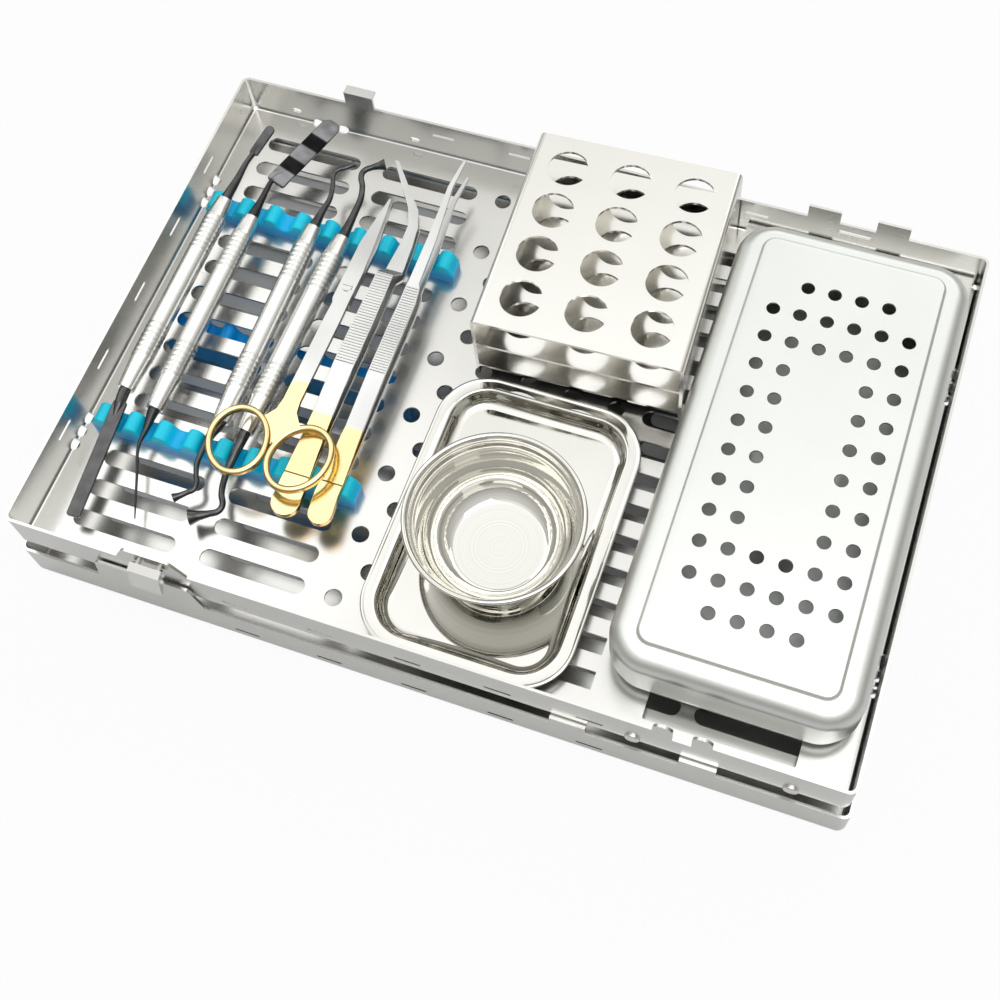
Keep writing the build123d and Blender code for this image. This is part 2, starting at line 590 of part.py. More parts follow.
# ---------------------------------------------------------------- dish and bowl
def mirror_dish():
    """Shallow rectangular dish with a flat flange."""
    inner_w = DISH_WIDTH - 2 * DISH_FLANGE
    inner_d = DISH_DEPTH - 2 * DISH_FLANGE
    corner = DISH_CORNER - DISH_FLANGE
    body = pan(inner_w, inner_d, DISH_HEIGHT, DISH_SHEET, corner, 3.5)
    flange = extrude(RectangleRounded(DISH_WIDTH, DISH_DEPTH, DISH_CORNER), -DISH_SHEET)
    mouth = extrude(RectangleRounded(inner_w - 2 * DISH_SHEET, inner_d - 2 * DISH_SHEET,
                                     corner - DISH_SHEET), -2 * DISH_SHEET)
    body += Pos(0, 0, DISH_HEIGHT) * (flange - mouth)
    return Pos(DISH_X, DISH_Y, TRAY_FLOOR) * body


def mixing_bowl():
    """Turned bowl with a rolled lip and a flat base."""
    height, base, rim = BOWL_HEIGHT, BOWL_BASE_RADIUS, BOWL_RIM_RADIUS - BOWL_LIP
    belly = (rim - 4.2, height * 0.42)
    outside = Spline((base, 0.8), belly, (rim, height), tangents=((1, 0.25), (0.22, 1)))
    inside = Spline((rim - BOWL_SHEET, height), (belly[0] - BOWL_SHEET, belly[1] + 0.3),
                    (base - 0.4, 0.8 + BOWL_SHEET), tangents=((-0.22, -1), (-1, -0.25)))
    foot = Polyline((0, 0), (base - 1.6, 0), (base, 0.8))
    floor = Polyline((base - 0.4, 0.8 + BOWL_SHEET), (base - 1.8, BOWL_SHEET), (0, BOWL_SHEET), (0, 0))
    rim_line = Line((rim, height), (rim - BOWL_SHEET, height))
    profile = make_face(foot + outside + rim_line + inside + floor)
    bowl = revolve(Plane.XZ * profile, Axis.Z)
    lip_path = Pos(rim + BOWL_LIP / 2 - 0.2, height - BOWL_LIP / 2) * Circle(BOWL_LIP / 2)
    lip = revolve(Plane.XZ * lip_path, Axis.Z)
    return Pos(BOWL_X, BOWL_Y, TRAY_FLOOR + DISH_SHEET) * (bowl + lip)


# ---------------------------------------------------------------- double-ended instruments
def grip_edge(plain, count):
    """Half profile of one end of a handle, from its end face to the plain middle."""
    half = HANDLE_LENGTH / 2
    start = half - plain
    edge = [(HANDLE_END_RADIUS, half), (HANDLE_RADIUS - 0.4, start + 1.0)]
    for rib in range(count):
        top = start - RIB_PITCH * rib
        edge += [(HANDLE_RADIUS - RIB_DEPTH, top), (HANDLE_RADIUS, top - 0.3),
                 (HANDLE_RADIUS, top - RIB_PITCH + 0.9), (HANDLE_RADIUS - RIB_DEPTH, top - RIB_PITCH + 0.6)]
    edge.append((HANDLE_RADIUS - 0.15, edge[-1][1] - 0.9))
    return edge


def handle():
    """Handle along Y with a ribbed grip near both ends, bored there for the tips."""
    half = HANDLE_LENGTH / 2
    outline = []
    for side, plain, count in GRIPS:
        edge = [(radius, side * y) for radius, y in grip_edge(plain, count)]
        outline += edge if side > 0 else reversed(edge)
    body = revolve(make_face(Polyline((0, half), *outline, (0, -half), close=True)), Axis.Y)
    bore = extrude(Plane.XZ * Circle(TANG_RADIUS + TANG_FIT), TANG_LENGTH)
    body -= Pos(0, half, 0) * bore
    body -= Pos(0, -half + TANG_LENGTH, 0) * bore
    return body


def beyond(side, point):
    """A point given as (sideways, beyond the end of the handle)."""
    return Vector(point[0], side * (HANDLE_LENGTH / 2 + point[1]), 0)


def limb(side, stations):
    """One round tip with its tang; stations are (sideways, beyond the handle, radius)."""
    half = HANDLE_LENGTH / 2
    tang = extrude(Plane.XZ * Circle(TANG_RADIUS), TANG_LENGTH)
    tang = Pos(0, half if side > 0 else TANG_LENGTH - half, 0) * tang
    stations = [(0, 0, ROOT_RADIUS), (0, COLLAR, ROOT_RADIUS), *stations]
    places = [beyond(side, station) for station in stations]
    sections = []
    for number, (place, station) in enumerate(zip(places, stations)):
        before, after = places[max(number - 1, 0)], places[min(number + 1, len(places) - 1)]
        heading = Vector(0, side, 0) if number < 2 else after - before
        sections.append(Plane(origin=place, x_dir=(0, 0, 1), z_dir=heading) * Circle(station[2]))
    return tang + loft(sections, ruled=True)


def blade(side, start, end, width, nose, thickness=1.2):
    """A flat blade between two points, its far end rounded."""
    first, last = beyond(side, start), beyond(side, end)
    length = (last - first).length
    flat = Rectangle(length, width, align=(Align.MIN, Align.CENTER))
    flat = fillet(flat.vertices().group_by(Axis.X)[-1], nose)
    flat = fillet(flat.vertices().group_by(Axis.X)[0], 1.0)
    turn = degrees(atan2(last.Y - first.Y, last.X - first.X))
    return Pos(first) * Rot(0, 0, turn) * extrude(flat, thickness / 2, both=True)


def groove(number, aside):
    """X of a piece that lies over a groove of the rails, this far aside of its middle."""
    return RAIL_START + RAIL_PITCH * number + aside


def instrument_place(x, y, height, heading):
    """Middle of a handle; heading turns it about Z."""
    return Pos(x, y, at_floor(height)) * Rot(HANDLE_PITCH, 0, heading)


INSTRUMENTS = {
    "scraper": (groove(1, -1.08), 3.6, HANDLE_Z + SCRAPER_LIFT, -1.2),
    "retractor": (groove(2, -0.16), -0.1, HANDLE_Z, -0.9),
    "small_plugger": (groove(4, 1.08), 2.7, HANDLE_Z, -0.5),
    "large_plugger": (groove(5, 0.7), 1.3, HANDLE_Z + PLUGGER_LIFT, -1.9),
}


def scraper_tips():
    """A small paddle at the rear and a long straight blade at the front."""
    rear = limb(1, [(0.5, 11, 1.6), (0.6, 19, 1.2), (1.1, 22.8, 1.2), (2.0, 28, 0.4)])
    rear += blade(1, (1.4, 23), (3.2, 37.5), 4.0, 1.8)
    front = limb(-1, [(0.6, 6, 2.2), (1.3, 12, 0.5)])
    front += blade(-1, (0.7, 5), (5.0, 51.5), 5.4, 2.0)
    return [rear, front]


def retractor_tips():
    """A broad flat lifter at the rear and a long fine probe at the front."""
    rear = limb(1, [(0.2, 9, 1.5), (0.2, 15, 1.2), (0.5, 18.5, 1.1), (4.5, 25, 0.5)])
    rear += blade(1, (2.0, 17.5), (13.4, 51.5), 8.5, 3.6)
    front = limb(-1, [(0.6, 8.4, 1.3), (0.8, 14, 0.8), (2.0, 18, 0.65), (3.9, 21.9, 0.6), (9.5, 34.4, 0.5),
                      (12.5, 41.1, 0.25)])
    return [rear, front]


def small_plugger_tips():
    """Bent necks with small ends."""
    rear = limb(1, [(0.5, 9, 1.4), (0.9, 14, 1.25), (-0.3, 20, 1.2), (-1.9, 25, 1.2), (-1.4, 27.4, 1.2),
                    (1.1, 29.3, 1.2), (2.9, 30.9, 1.2), (4.4, 32.2, 1.6)])
    front = limb(-1, [(-1.2, 6, 1.9), (-1.5, 12, 1.3), (-1.2, 17.8, 1.2), (0.4, 22, 1.2), (2.1, 25.3, 1.2),
                      (1.9, 27.5, 1.2), (0.2, 29.1, 1.2), (-1.9, 31.1, 1.3), (-3.8, 32.7, 1.8)])
    return [rear, front]


def large_plugger_tips():
    """Bent necks with wide flared ends."""
    rear = limb(1, [(-0.1, 11, 1.6), (-0.5, 18.8, 1.4), (-2.2, 24.3, 1.35), (-4.7, 29.2, 1.35),
                    (-4.3, 31.5, 1.35), (-2.2, 33.6, 1.4), (0.2, 35.2, 1.7), (2.4, 36.6, 2.6)])
    front = limb(-1, [(0.3, 13, 1.7), (0.9, 19, 1.4), (2.4, 24.5, 1.35), (4.7, 28.7, 1.35),
                      (4.2, 31, 1.35), (1.6, 32.9, 1.4), (-1.6, 34.8, 2.0), (-4.6, 36.6, 3.3)])
    return [rear, front]


# ---------------------------------------------------------------- scissors
SCISSORS_X = groove(6, 3.32)
SCISSORS_Y = 20.8
SCISSORS_Z = 16.0                 # underside above the tray floor
SCISSORS_TURN = -1.2
BLADE_THICK = 1.8
BLADE_REACH = 41.7
BLADE_WIDTH = 6.5
BLADE_GAP = 0.1
SHANK_WIDTH = 3.5
SHANK_GAP = 0.1                   # from the line between the two shanks
RING_OUTER = (11.6, 13.9)
RING_BAND = 2.3                   # width of a ring's section
RING_WIRE = 3.2                   # height of a ring's section
RING_TILT = 17.0
RING_X = 12.0
RING_Y = -70.3
SCREW_RADIUS = 1.2
SCREW_PLAY = 0.05
SCREW_HEAD = 2.0
SCREW_HEAD_HEIGHT = 0.6


def ring_outline(side, shrink=0.0):
    """Plan view of a finger ring, or of something smaller round the same middle."""
    place = Pos(-side * RING_X, RING_Y) * Rot(0, 0, side * RING_TILT)
    return place * Ellipse(RING_OUTER[0] - shrink, RING_OUTER[1] - shrink)


def scissor_half(side, level):
    """One half, hinge at the origin: blade on one side, ring on the other. Level lifts its blade."""
    wide = BLADE_WIDTH / 2
    gap, shank = SHANK_GAP, SHANK_WIDTH
    top = RING_Y + RING_OUTER[1]
    line = [(-0.3, BLADE_REACH), (0.5, BLADE_REACH), (wide - 1.1, BLADE_REACH * 0.7), (wide, BLADE_REACH * 0.48),
            (wide, -6), (-gap, -15), (-gap, RING_Y + 2.3), (-6, RING_Y + 1.3), (-10, top - 5.6),
            (-6.4, top - 1.2), (-4.2, top + 1.9), (-shank, top + 6.4), (-shank, -15), (-wide, -6),
            (-wide, BLADE_REACH * 0.18), (-1.4, BLADE_REACH * 0.72)]
    flat = extrude(make_face(Polyline([(side * x, y) for x, y in line], close=True)), BLADE_THICK)
    flat -= extrude(ring_outline(side, RING_BAND / 2), 2 * RING_WIRE, both=True)
    ring = extrude(ring_outline(side), RING_WIRE) - extrude(ring_outline(side, RING_BAND), RING_WIRE)
    ring = fillet(ring.edges(), RING_BAND * 0.42)
    lift = level * (BLADE_THICK + BLADE_GAP)
    ring_lift = level * (2 * BLADE_THICK + BLADE_GAP - RING_WIRE)
    half = Pos(0, 0, lift) * flat + Pos(0, 0, ring_lift) * ring
    bore_radius = SCREW_RADIUS + SCREW_PLAY
    return half - Cylinder(bore_radius, 30)


def scissors_place():
    return Pos(SCISSORS_X, SCISSORS_Y, at_floor(SCISSORS_Z)) * Rot(0, 0, SCISSORS_TURN)


def scissor_screw():
    """Pivot screw with a slotted head on top and a riveted foot below."""
    grip = 2 * BLADE_THICK + BLADE_GAP
    shank = Cylinder(SCREW_RADIUS, grip, align=(Align.CENTER, Align.CENTER, Align.MIN))
    head = Cylinder(SCREW_HEAD, SCREW_HEAD_HEIGHT, align=(Align.CENTER, Align.CENTER, Align.MIN))
    head -= Pos(0, 0, SCREW_HEAD_HEIGHT) * Box(3 * SCREW_HEAD, 0.6, SCREW_HEAD_HEIGHT)
    foot = Cylinder(SCREW_HEAD * 0.8, 0.5, align=(Align.CENTER, Align.CENTER, Align.MAX))
    return scissors_place() * (shank + Pos(0, 0, grip) * head + foot)


# ---------------------------------------------------------------- tweezers
TWEEZERS_SHEET = 1.3
TWEEZERS_HEEL = 16.0              # length over which the two arms are joined
TWEEZERS_Z = 9.8
HEEL_GAP = 0.3
HEEL_AIR = 0.03                   # between the sprung arm and the arm under it, where they part
TWEEZERS_PLACES = {
    "angled_tweezers": (groove(7, 1.84), -69.4),
    "straight_tweezers": (groove(8, 2.76), -68.7),
}
# (distance from the rear end, sideways shift of the middle line, width) along each pattern
TWEEZERS_SPINES = {
    "angled_tweezers": ((0, -0.3, 1.8), (0.4, -0.3, 4.2), (1.3, -0.3, 7.0), (2.6, -0.3, 9.2), (4.0, -0.3, 10.2),
                        (5.3, -0.3, 10.6), (13.2, -0.6, 9.9), (21.7, -0.5, 9.0), (30.5, -0.15, 8.1),
                        (40, -0.1, 7.6), (61.6, -0.2, 7.9), (81.8, 0.0, 7.5), (101.3, 0.0, 6.6),
                        (104, 1.9, 6.8), (106.5, 2.0, 6.6), (117.1, 2.1, 4.9), (125.7, 1.5, 4.0),
                        (132.6, -1.2, 4.2), (141.7, -7.8, 3.0), (152.3, -15.7, 1.7)),
    "straight_tweezers": ((0, 0, 1.6), (0.4, 0, 3.6), (1.1, 0, 5.8), (2.1, 0, 7.6), (3.3, 0, 8.5), (4.6, 0, 8.9),
                          (11.8, -0.65, 8.7), (23.9, -0.4, 7.9), (37.2, -0.1, 6.7), (60.7, -0.3, 6.7),
                          (80.3, -0.45, 6.4), (91.3, -0.35, 6.1), (97.5, -0.7, 5.4), (99.5, -1.0, 4.3),
                          (118.6, -1.05, 3.6), (142.5, -2.2, 2.0), (155.2, -0.8, 1.2)),
}
# (distance from the rear end, underside above the underside of the flat arm) of each sprung arm at rest
TWEEZERS_RISES = {
    "angled_tweezers": ((33, 3.9), (60, 6.0), (90, 6.5), (101, 6.7), (104.5, 4.0), (160, 5.1)),
    "straight_tweezers": ((33, 3.9), (60, 6.0), (90, 6.5), (120, 8.6), (160, 11.4)),
}


def arm_outline(name):
    """Plan view of an arm, the middle of its rear end on the origin."""
    spine = TWEEZERS_SPINES[name]
    left = [(shift - width / 2, reach) for reach, shift, width in spine]
    right = [(shift + width / 2, reach) for reach, shift, width in spine]
    return make_face(Polyline(*left, *reversed(right), close=True))


def tweezers_place(name):
    x, y = TWEEZERS_PLACES[name]
    return Pos(x, y, at_floor(TWEEZERS_Z))


def lower_arm(name):
    """Flat lower arm with the heel that both arms share."""
    arm = extrude(arm_outline(name), TWEEZERS_SHEET)
    heel = extrude(arm_outline(name), 2 * TWEEZERS_SHEET)
    heel &= Box(60, 2 * TWEEZERS_HEEL, 40)
    return tweezers_place(name) * (arm + heel)


def upper_arm(name):
    """Sprung upper arm, bowed away from the heel."""
    column = extrude(arm_outline(name), 40)
    underside = [(TWEEZERS_HEEL + HEEL_GAP, TWEEZERS_SHEET + HEEL_AIR), *TWEEZERS_RISES[name]]
    top = [(reach, rise + TWEEZERS_SHEET) for reach, rise in underside]
    bow = extrude(Plane.YZ * make_face(Polyline(*underside, *reversed(top), close=True)), 60, both=True)
    return tweezers_place(name) * (column & bow)


# ---------------------------------------------------------------- the whole assembly
def build():
    """Every node of the part by name."""
    nodes = {
        "lid_shell": lid_shell(),
        "lid_silicone_rail": lid_rail(),
        "tray_pan": tray_pan(),
        "rear_silicone_rail": tray_rail(RAIL_ROWS[0]),
        "front_silicone_rail": tray_rail(RAIL_ROWS[1]),
        "latch_lever": latch_lever(),
        "latch_pin": latch_pin(),
        "latch_spring": latch_spring(),
        "box_platform": box_platform(),
        "platform_rivets": platform_rivets(),
        "membrane_box": box_body(),
        "membrane_box_strainer": box_strainer(),
        "membrane_box_press_plate": box_press_plate(),
        "membrane_box_lid": box_lid(),
        "rack_frame": rack_frame(),
        "rack_middle_plate": rack_middle_plate(),
        "rack_base_plate": rack_base_plate(),
        "mirror_dish": mirror_dish(),
        "mixing_bowl": mixing_bowl(),
        "scissors_left_ring_half": scissors_place() * scissor_half(1, 0),
        "scissors_right_ring_half": scissors_place() * scissor_half(-1, 1),
        "scissors_screw": scissor_screw(),
    }
    tips = {
        "scraper": scraper_tips,
        "retractor": retractor_tips,
        "small_plugger": small_plugger_tips,
        "large_plugger": large_plugger_tips,
    }
    for name, where in INSTRUMENTS.items():
        place = instrument_place(*where)
        nodes[name + "_handle"] = place * handle()
        nodes[name + "_tips"] = Compound(children=[place * piece for piece in tips[name]()])
    for name in TWEEZERS_PLACES:
        nodes[name + "_lower_arm"] = lower_arm(name)
        nodes[name + "_upper_arm"] = upper_arm(name)
    return nodes


os.makedirs("parts", exist_ok=True)
for node, shape in build().items():
    export_step(shape, "parts/" + node + ".step")
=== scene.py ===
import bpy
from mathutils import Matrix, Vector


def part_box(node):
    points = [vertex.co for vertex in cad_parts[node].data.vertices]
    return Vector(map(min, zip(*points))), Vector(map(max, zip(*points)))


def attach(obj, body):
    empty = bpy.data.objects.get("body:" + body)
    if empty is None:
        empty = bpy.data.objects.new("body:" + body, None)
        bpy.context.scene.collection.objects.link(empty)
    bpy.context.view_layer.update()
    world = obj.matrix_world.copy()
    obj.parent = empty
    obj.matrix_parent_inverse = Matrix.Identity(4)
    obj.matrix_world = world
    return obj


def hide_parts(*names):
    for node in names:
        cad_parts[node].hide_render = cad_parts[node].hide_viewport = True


bl_info = {
    "name": "Dental instrument cassette",
    "version": (1, 0, 0),
    "blender": (4, 5, 0),
    "location": "View3D > Sidebar > Cassette",
    "description": "Dresses a packed instrument cassette with finishes, turned handles, tips, a bowl and a dish",
    "category": "Object",
}

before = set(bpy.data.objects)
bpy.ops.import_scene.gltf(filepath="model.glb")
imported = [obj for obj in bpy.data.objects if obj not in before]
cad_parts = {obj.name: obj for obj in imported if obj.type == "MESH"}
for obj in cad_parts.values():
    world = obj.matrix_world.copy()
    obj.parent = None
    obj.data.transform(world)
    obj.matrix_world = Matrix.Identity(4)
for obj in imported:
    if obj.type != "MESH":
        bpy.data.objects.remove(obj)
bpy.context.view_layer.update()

from math import cos, pi, radians, sin

import bmesh
import bpy
from bpy.props import FloatProperty, FloatVectorProperty, IntProperty, PointerProperty
from bpy.types import Operator, Panel, PropertyGroup
from mathutils import Matrix, Vector

MM = 0.001
SAME = 1e-7                  # vertices of a new shape that are nearer than this are one
WELD = 2e-6                  # and so are those of a solid's mesh that are nearer than this
FLAT = radians(0.6)          # faces of a solid that meet at less than this are one flat
SHARP = radians(40)          # an edge of a solid where faces meet at more than this can be eased
TRAY_FLOOR = 24.5 * MM       # height of the tray's floor above the table


# ---------------------------------------------------------------- shader wiring
class Wire:
    """A shader socket that takes part in Python expressions; each operation adds its Math node."""

    def __init__(self, tree, socket):
        self.tree, self.socket = tree, socket

    def math(self, operation, *others):
        node = self.tree.nodes.new("ShaderNodeMath")
        node.operation = operation
        for socket, value in zip(node.inputs, (self, *others)):
            plug(self.tree, value, socket)
        return Wire(self.tree, node.outputs[0])

    def __add__(self, other):
        return self.math("ADD", other)

    def __sub__(self, other):
        return self.math("SUBTRACT", other)

    def __mul__(self, other):
        return self.math("MULTIPLY", other)

    def __rsub__(self, other):
        return self * -1.0 + other

    def __gt__(self, other):
        return self.math("GREATER_THAN", other)

    __radd__ = __add__
    __rmul__ = __mul__


def plug(tree, value, socket):
    """Link a wire to a socket, or set the socket's own value."""
    if isinstance(value, Wire):
        tree.links.new(value.socket, socket)
    elif hasattr(socket.default_value, "__len__") and len(value) == 3 and len(socket.default_value) == 4:
        socket.default_value = (*value, 1.0)
    else:
        socket.default_value = value


class Shading:
    """A node tree with one way to add any node."""

    def __init__(self, tree):
        self.tree = tree

    @classmethod
    def cleared(cls, owner):
        """The emptied node tree of a material or a world."""
        owner.use_nodes = True
        owner.node_tree.nodes.clear()
        return cls(owner.node_tree)

    def node(self, kind, settings=None, inputs=None, output=0):
        """Add a node, set it up, wire its inputs and give back one output."""
        node = self.tree.nodes.new(kind)
        for name, value in (settings or {}).items():
            if name == "stops":
                ramp = node.color_ramp
                while len(ramp.elements) < len(value):
                    ramp.elements.new(0.5)
                for element, (place, colour) in zip(ramp.elements, value):
                    element.position, element.color = place, (*colour, 1.0)
            else:
                setattr(node, name, value)
        for name, value in (inputs or {}).items():
            plug(self.tree, value, node.inputs[name])
        return Wire(self.tree, node.outputs[output]) if node.outputs else None

    def blend(self, factor, first, second):
        """Mix two colours."""
        return self.node("ShaderNodeMix", {"data_type": "RGBA"}, {0: factor, 6: first, 7: second}, 2)

    def axis(self, vector, number):
        """One part of a vector; 0 is X, 1 is Y and 2 is Z."""
        return self.node("ShaderNodeSeparateXYZ", None, {0: vector}, number)

    def place(self):
        """Object coordinates in metres."""
        return self.node("ShaderNodeTexCoord", output=3)

    def at(self, scale=(1, 1, 1), turn=0.0):
        """Object coordinates in millimetres, scaled along each axis and turned about Z."""
        scales = [part / MM for part in scale]
        inputs = {"Vector": self.place(), "Scale": scales, "Rotation": (0, 0, turn)}
        return self.node("ShaderNodeMapping", {"vector_type": "POINT"}, inputs)

    def noise(self, scale, detail=2.0, stretch=(1, 1, 1), turn=0.0):
        """Noise whose scale is in features per millimetre."""
        inputs = {"Vector": self.at(stretch, turn), "Scale": scale, "Detail": detail}
        return self.node("ShaderNodeTexNoise", None, inputs)


class Finish(Shading):
    """A material with a Principled shader; what is the same all over is set on the shader's own sockets."""

    def __init__(self, name, **constants):
        self.material = bpy.data.materials.new(name)
        self.material.use_nodes = True
        super().__init__(self.material.node_tree)
        self.shader = self.tree.nodes["Principled BSDF"]
        for socket, value in constants.items():
            self.set(socket.replace("_", " "), value)

    def set(self, socket, value):
        plug(self.tree, value, self.shader.inputs[socket])

    def bump(self, height, depth, strength=1.0):
        """Raise the surface by a height field; depth in millimetres."""
        inputs = {"Height": height, "Distance": depth * MM, "Strength": strength}
        self.set("Normal", self.node("ShaderNodeBump", None, inputs))


def shade(colour, factor):
    """A darker or lighter shade of a colour."""
    return [min(part * factor, 1.0) for part in colour]


# ---------------------------------------------------------------- finishes
BLADE_TURN = radians(18.5)   # of the blade's painted reflection bands, from +Y towards +X
BLADE_START = 20.0           # where the blade begins along that direction, in millimetres
BLADE_LENGTH = 36.0
# painted reflection: how light the blade is painted at each part of its length, from its neck to its end; the bands
# stand in for reflections of the tray's slots
BLADE_REFLECTION_BANDS = ((0.0, 0.25), (0.02, 1.0), (0.18, 1.0), (0.20, 0.0), (0.35, 0.0), (0.37, 1.0),
               (0.54, 1.0), (0.56, 0.0), (0.72, 0.0), (0.74, 1.0))
RING_FLATTENING = 0.35       # how much less height counts than reach in the rings of turned steel
BORDER_WAVER = 0.6           # width of the wavering of a gilt border, in millimetres
GILT_EDGE_SHADE = (0.55, 0.36, 0.15)   # painted shade: what is left of the gold's red, green and blue where it is seen edge on
SILICONE_SHADE_RISE = 1.5          # painted shade and highlight: height above the tray's floor where the silicone begins to be painted paler, in millimetres
SILICONE_SHADE_FADE = 150.0        # how fast it does so, per metre


def satin_steel(name, colour, roughness, grain=0.003, cloud=0.05, along=(0.03, 0.03, 1.2)):
    """Pressed sheet steel: rolling lines, soft clouds and a few handling marks."""
    finish = Finish(name, Metallic=1.0)
    lines = finish.noise(1.6, 3.0, along)
    clouds = finish.noise(0.035, 4.0)
    marks = finish.noise(0.9, 2.0, (0.12, 1.0, 0.6), 0.6)
    tone = (clouds - 0.5) * 2 * cloud + (lines - 0.5) * 0.04
    finish.set("Base Color", finish.blend(tone + 0.5, shade(colour, 0.82), shade(colour, 1.14)))
    finish.set("Roughness", (clouds - 0.5) * 0.1 + (lines - 0.5) * 0.05 + (marks > 0.68) * 0.03 + roughness)
    finish.bump(lines, grain)
    return finish.material


def mirror_steel(name, colour, roughness=0.045):
    """Polished steel with a faint haze of wiping marks."""
    finish = Finish(name, Metallic=1.0)
    haze = finish.noise(0.05, 5.0)
    wipes = finish.noise(1.2, 3.0, (0.25, 1.0, 1.0), 0.9)
    finish.set("Base Color", finish.blend(haze, shade(colour, 0.94), shade(colour, 1.05)))
    finish.set("Roughness", (haze - 0.5) * 0.06 + (wipes > 0.62) * 0.02 + roughness)
    finish.bump(haze, 0.05, 0.25)
    return finish.material


def spun_steel(name, colour, centre, roughness=0.05):
    """Polished turned steel with fine rings round an upright axis."""
    finish = Finish(name, Metallic=1.0)
    inputs = {"Vector": finish.place(), "Location": [-part for part in centre]}
    local = finish.node("ShaderNodeMapping", {"vector_type": "POINT"}, inputs)
    inputs = {0: local, 1: (1, 1, RING_FLATTENING)}
    reach = finish.node("ShaderNodeVectorMath", {"operation": "MULTIPLY"}, inputs)
    radius = finish.node("ShaderNodeVectorMath", {"operation": "LENGTH"}, {0: reach}, 1)
    inputs = {"W": radius * (1 / MM), "Scale": 1.6}
    rings = finish.node("ShaderNodeTexNoise", {"noise_dimensions": "1D"}, inputs)
    haze = finish.noise(0.06, 4.0)
    finish.set("Base Color", finish.blend(rings, shade(colour, 0.88), shade(colour, 1.06)))
    finish.set("Roughness", (haze - 0.5) * 0.05 + (rings - 0.5) * 0.05 + roughness)
    finish.bump(rings, 0.012, 0.6)
    return finish.material


def gilt_steel(name, steel, gold, border, roughness=0.16):
    """Satin steel whose rear end is polished and gilt up to a border across the piece; the gold darkens to amber as
    painted shade where it is seen edge on.
    """
    finish = Finish(name, Metallic=1.0)
    waver = (finish.noise(0.5) - 0.5) * (BORDER_WAVER * MM)
    silver = (finish.axis(finish.place(), 1) + waver) > border
    # painted shade: the gold turns amber where its surface is seen edge on from the camera
    edge = finish.node("ShaderNodeLayerWeight", None, {"Blend": 0.45}, 1)
    brushed = finish.noise(2.4, 3.0, (1.6, 0.05, 1.0))
    sway = finish.noise(0.03, 1.0)
    silver_tone = finish.blend(brushed * 0.4 + sway * 0.6, shade(steel, 0.84), shade(steel, 1.16))
    shaded_edge_tone = [part * left for part, left in zip(gold, GILT_EDGE_SHADE)]
    gold_tone = finish.blend(edge * 1.6, gold, shaded_edge_tone)
    finish.set("Base Color", finish.blend(silver, gold_tone, silver_tone))
    finish.set("Roughness", silver * 0.08 + (brushed - 0.5) * 0.08 + roughness)
    finish.bump(brushed * 0.01 + sway * 0.8, 1.0)
    return finish.material


def coated_steel(name, colour, reflection_banded=False):
    """Hard glossy dark coating whose tone, gloss and roughness vary in soft patches; a reflection-banded one has
    dark and light bands of painted reflection along its blade.
    """
    finish = Finish(name, Metallic=0.85, Coat_Roughness=0.06)
    # the coating's tone, gloss and roughness vary in soft patches of noise
    patches = finish.noise(0.25, 4.0)
    sway = finish.noise(0.09, 1.0)
    tone = finish.blend(patches, shade(colour, 0.6), shade(colour, 1.9))
    gloss = patches * 0.4 + 0.4
    if reflection_banded:
        # painted reflection: light and dark bands across the blade, with the coat's gloss taken out of the dark
        # bands
        along = finish.axis(finish.at(turn=BLADE_TURN), 1)
        stops = [(part, (light, light, light)) for part, light in BLADE_REFLECTION_BANDS]
        inputs = {0: (along - BLADE_START) * (1 / BLADE_LENGTH)}
        reflection_band = finish.node("ShaderNodeValToRGB", {"stops": stops}, inputs)
        tone = finish.blend(reflection_band, shade(colour, 0.1), shade(colour, 3.6))
        gloss = gloss * reflection_band
    finish.set("Coat Weight", gloss)
    finish.set("Base Color", tone)
    finish.set("Roughness", (patches - 0.5) * 0.12 + 0.2)
    finish.bump(finish.noise(4.0) * 0.006 + sway * 1.6, 1.0)
    return finish.material


def soft_silicone(name, colour, painted_shade_colour):
    """Moulded silicone with a faint dusty mottle; a painted highlight makes it paler on its crests and painted
    shade makes it darker low down.
    """
    finish = Finish(name, Metallic=0.0, Coat_Roughness=0.3, Specular_IOR_Level=0.35, Subsurface_Weight=0.25,
                    Subsurface_Scale=0.004, Subsurface_Radius=(0.2, 0.8, 1.0))
    # painted shade low down and a painted highlight on the crests, by height above the tray's floor
    rise = (finish.axis(finish.place(), 2) - TRAY_FLOOR - SILICONE_SHADE_RISE * MM) * SILICONE_SHADE_FADE
    stops = [(0.0, painted_shade_colour), (0.55, colour), (1.0, shade(colour, 1.25))]
    tone = finish.node("ShaderNodeValToRGB", {"stops": stops}, {0: rise})
    mottle = finish.noise(0.35, 4.0)
    finish.set("Base Color", finish.blend((mottle - 0.4) * 0.5, tone, shade(colour, 1.3)))
    finish.set("Coat Weight", mottle * 0.2 + 0.1)
    finish.set("Roughness", (mottle - 0.5) * 0.15 + 0.42)
    finish.bump(finish.noise(1.8, 3.0), 0.03, 0.5)
    return finish.material


# ---------------------------------------------------------------- making pieces
def settings():
    """The sizes and colours that a user can change."""
    return bpy.context.scene.cassette


def put(shape, name, body, material, stands_for=(), smooth=radians(32)):
    """Turn a finished shape into a piece that rides on a body; edges under the smooth angle are shaded soft."""
    shape.normal_update()
    for face in shape.faces:
        face.smooth = True
    for edge in shape.edges:
        edge.smooth = len(edge.link_faces) == 2 and edge.calc_face_angle(0) < smooth
    mesh = bpy.data.meshes.new(name)
    shape.to_mesh(mesh)
    shape.free()
    mesh.materials.append(material)
    piece = bpy.data.objects.new(name, mesh)
    bpy.context.scene.collection.objects.link(piece)
    weighted = piece.modifiers.new("Even normals", "WEIGHTED_NORMAL")
    weighted.keep_sharp = True
    if stands_for:
        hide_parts(*stands_for)
    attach(piece, body)
    return piece


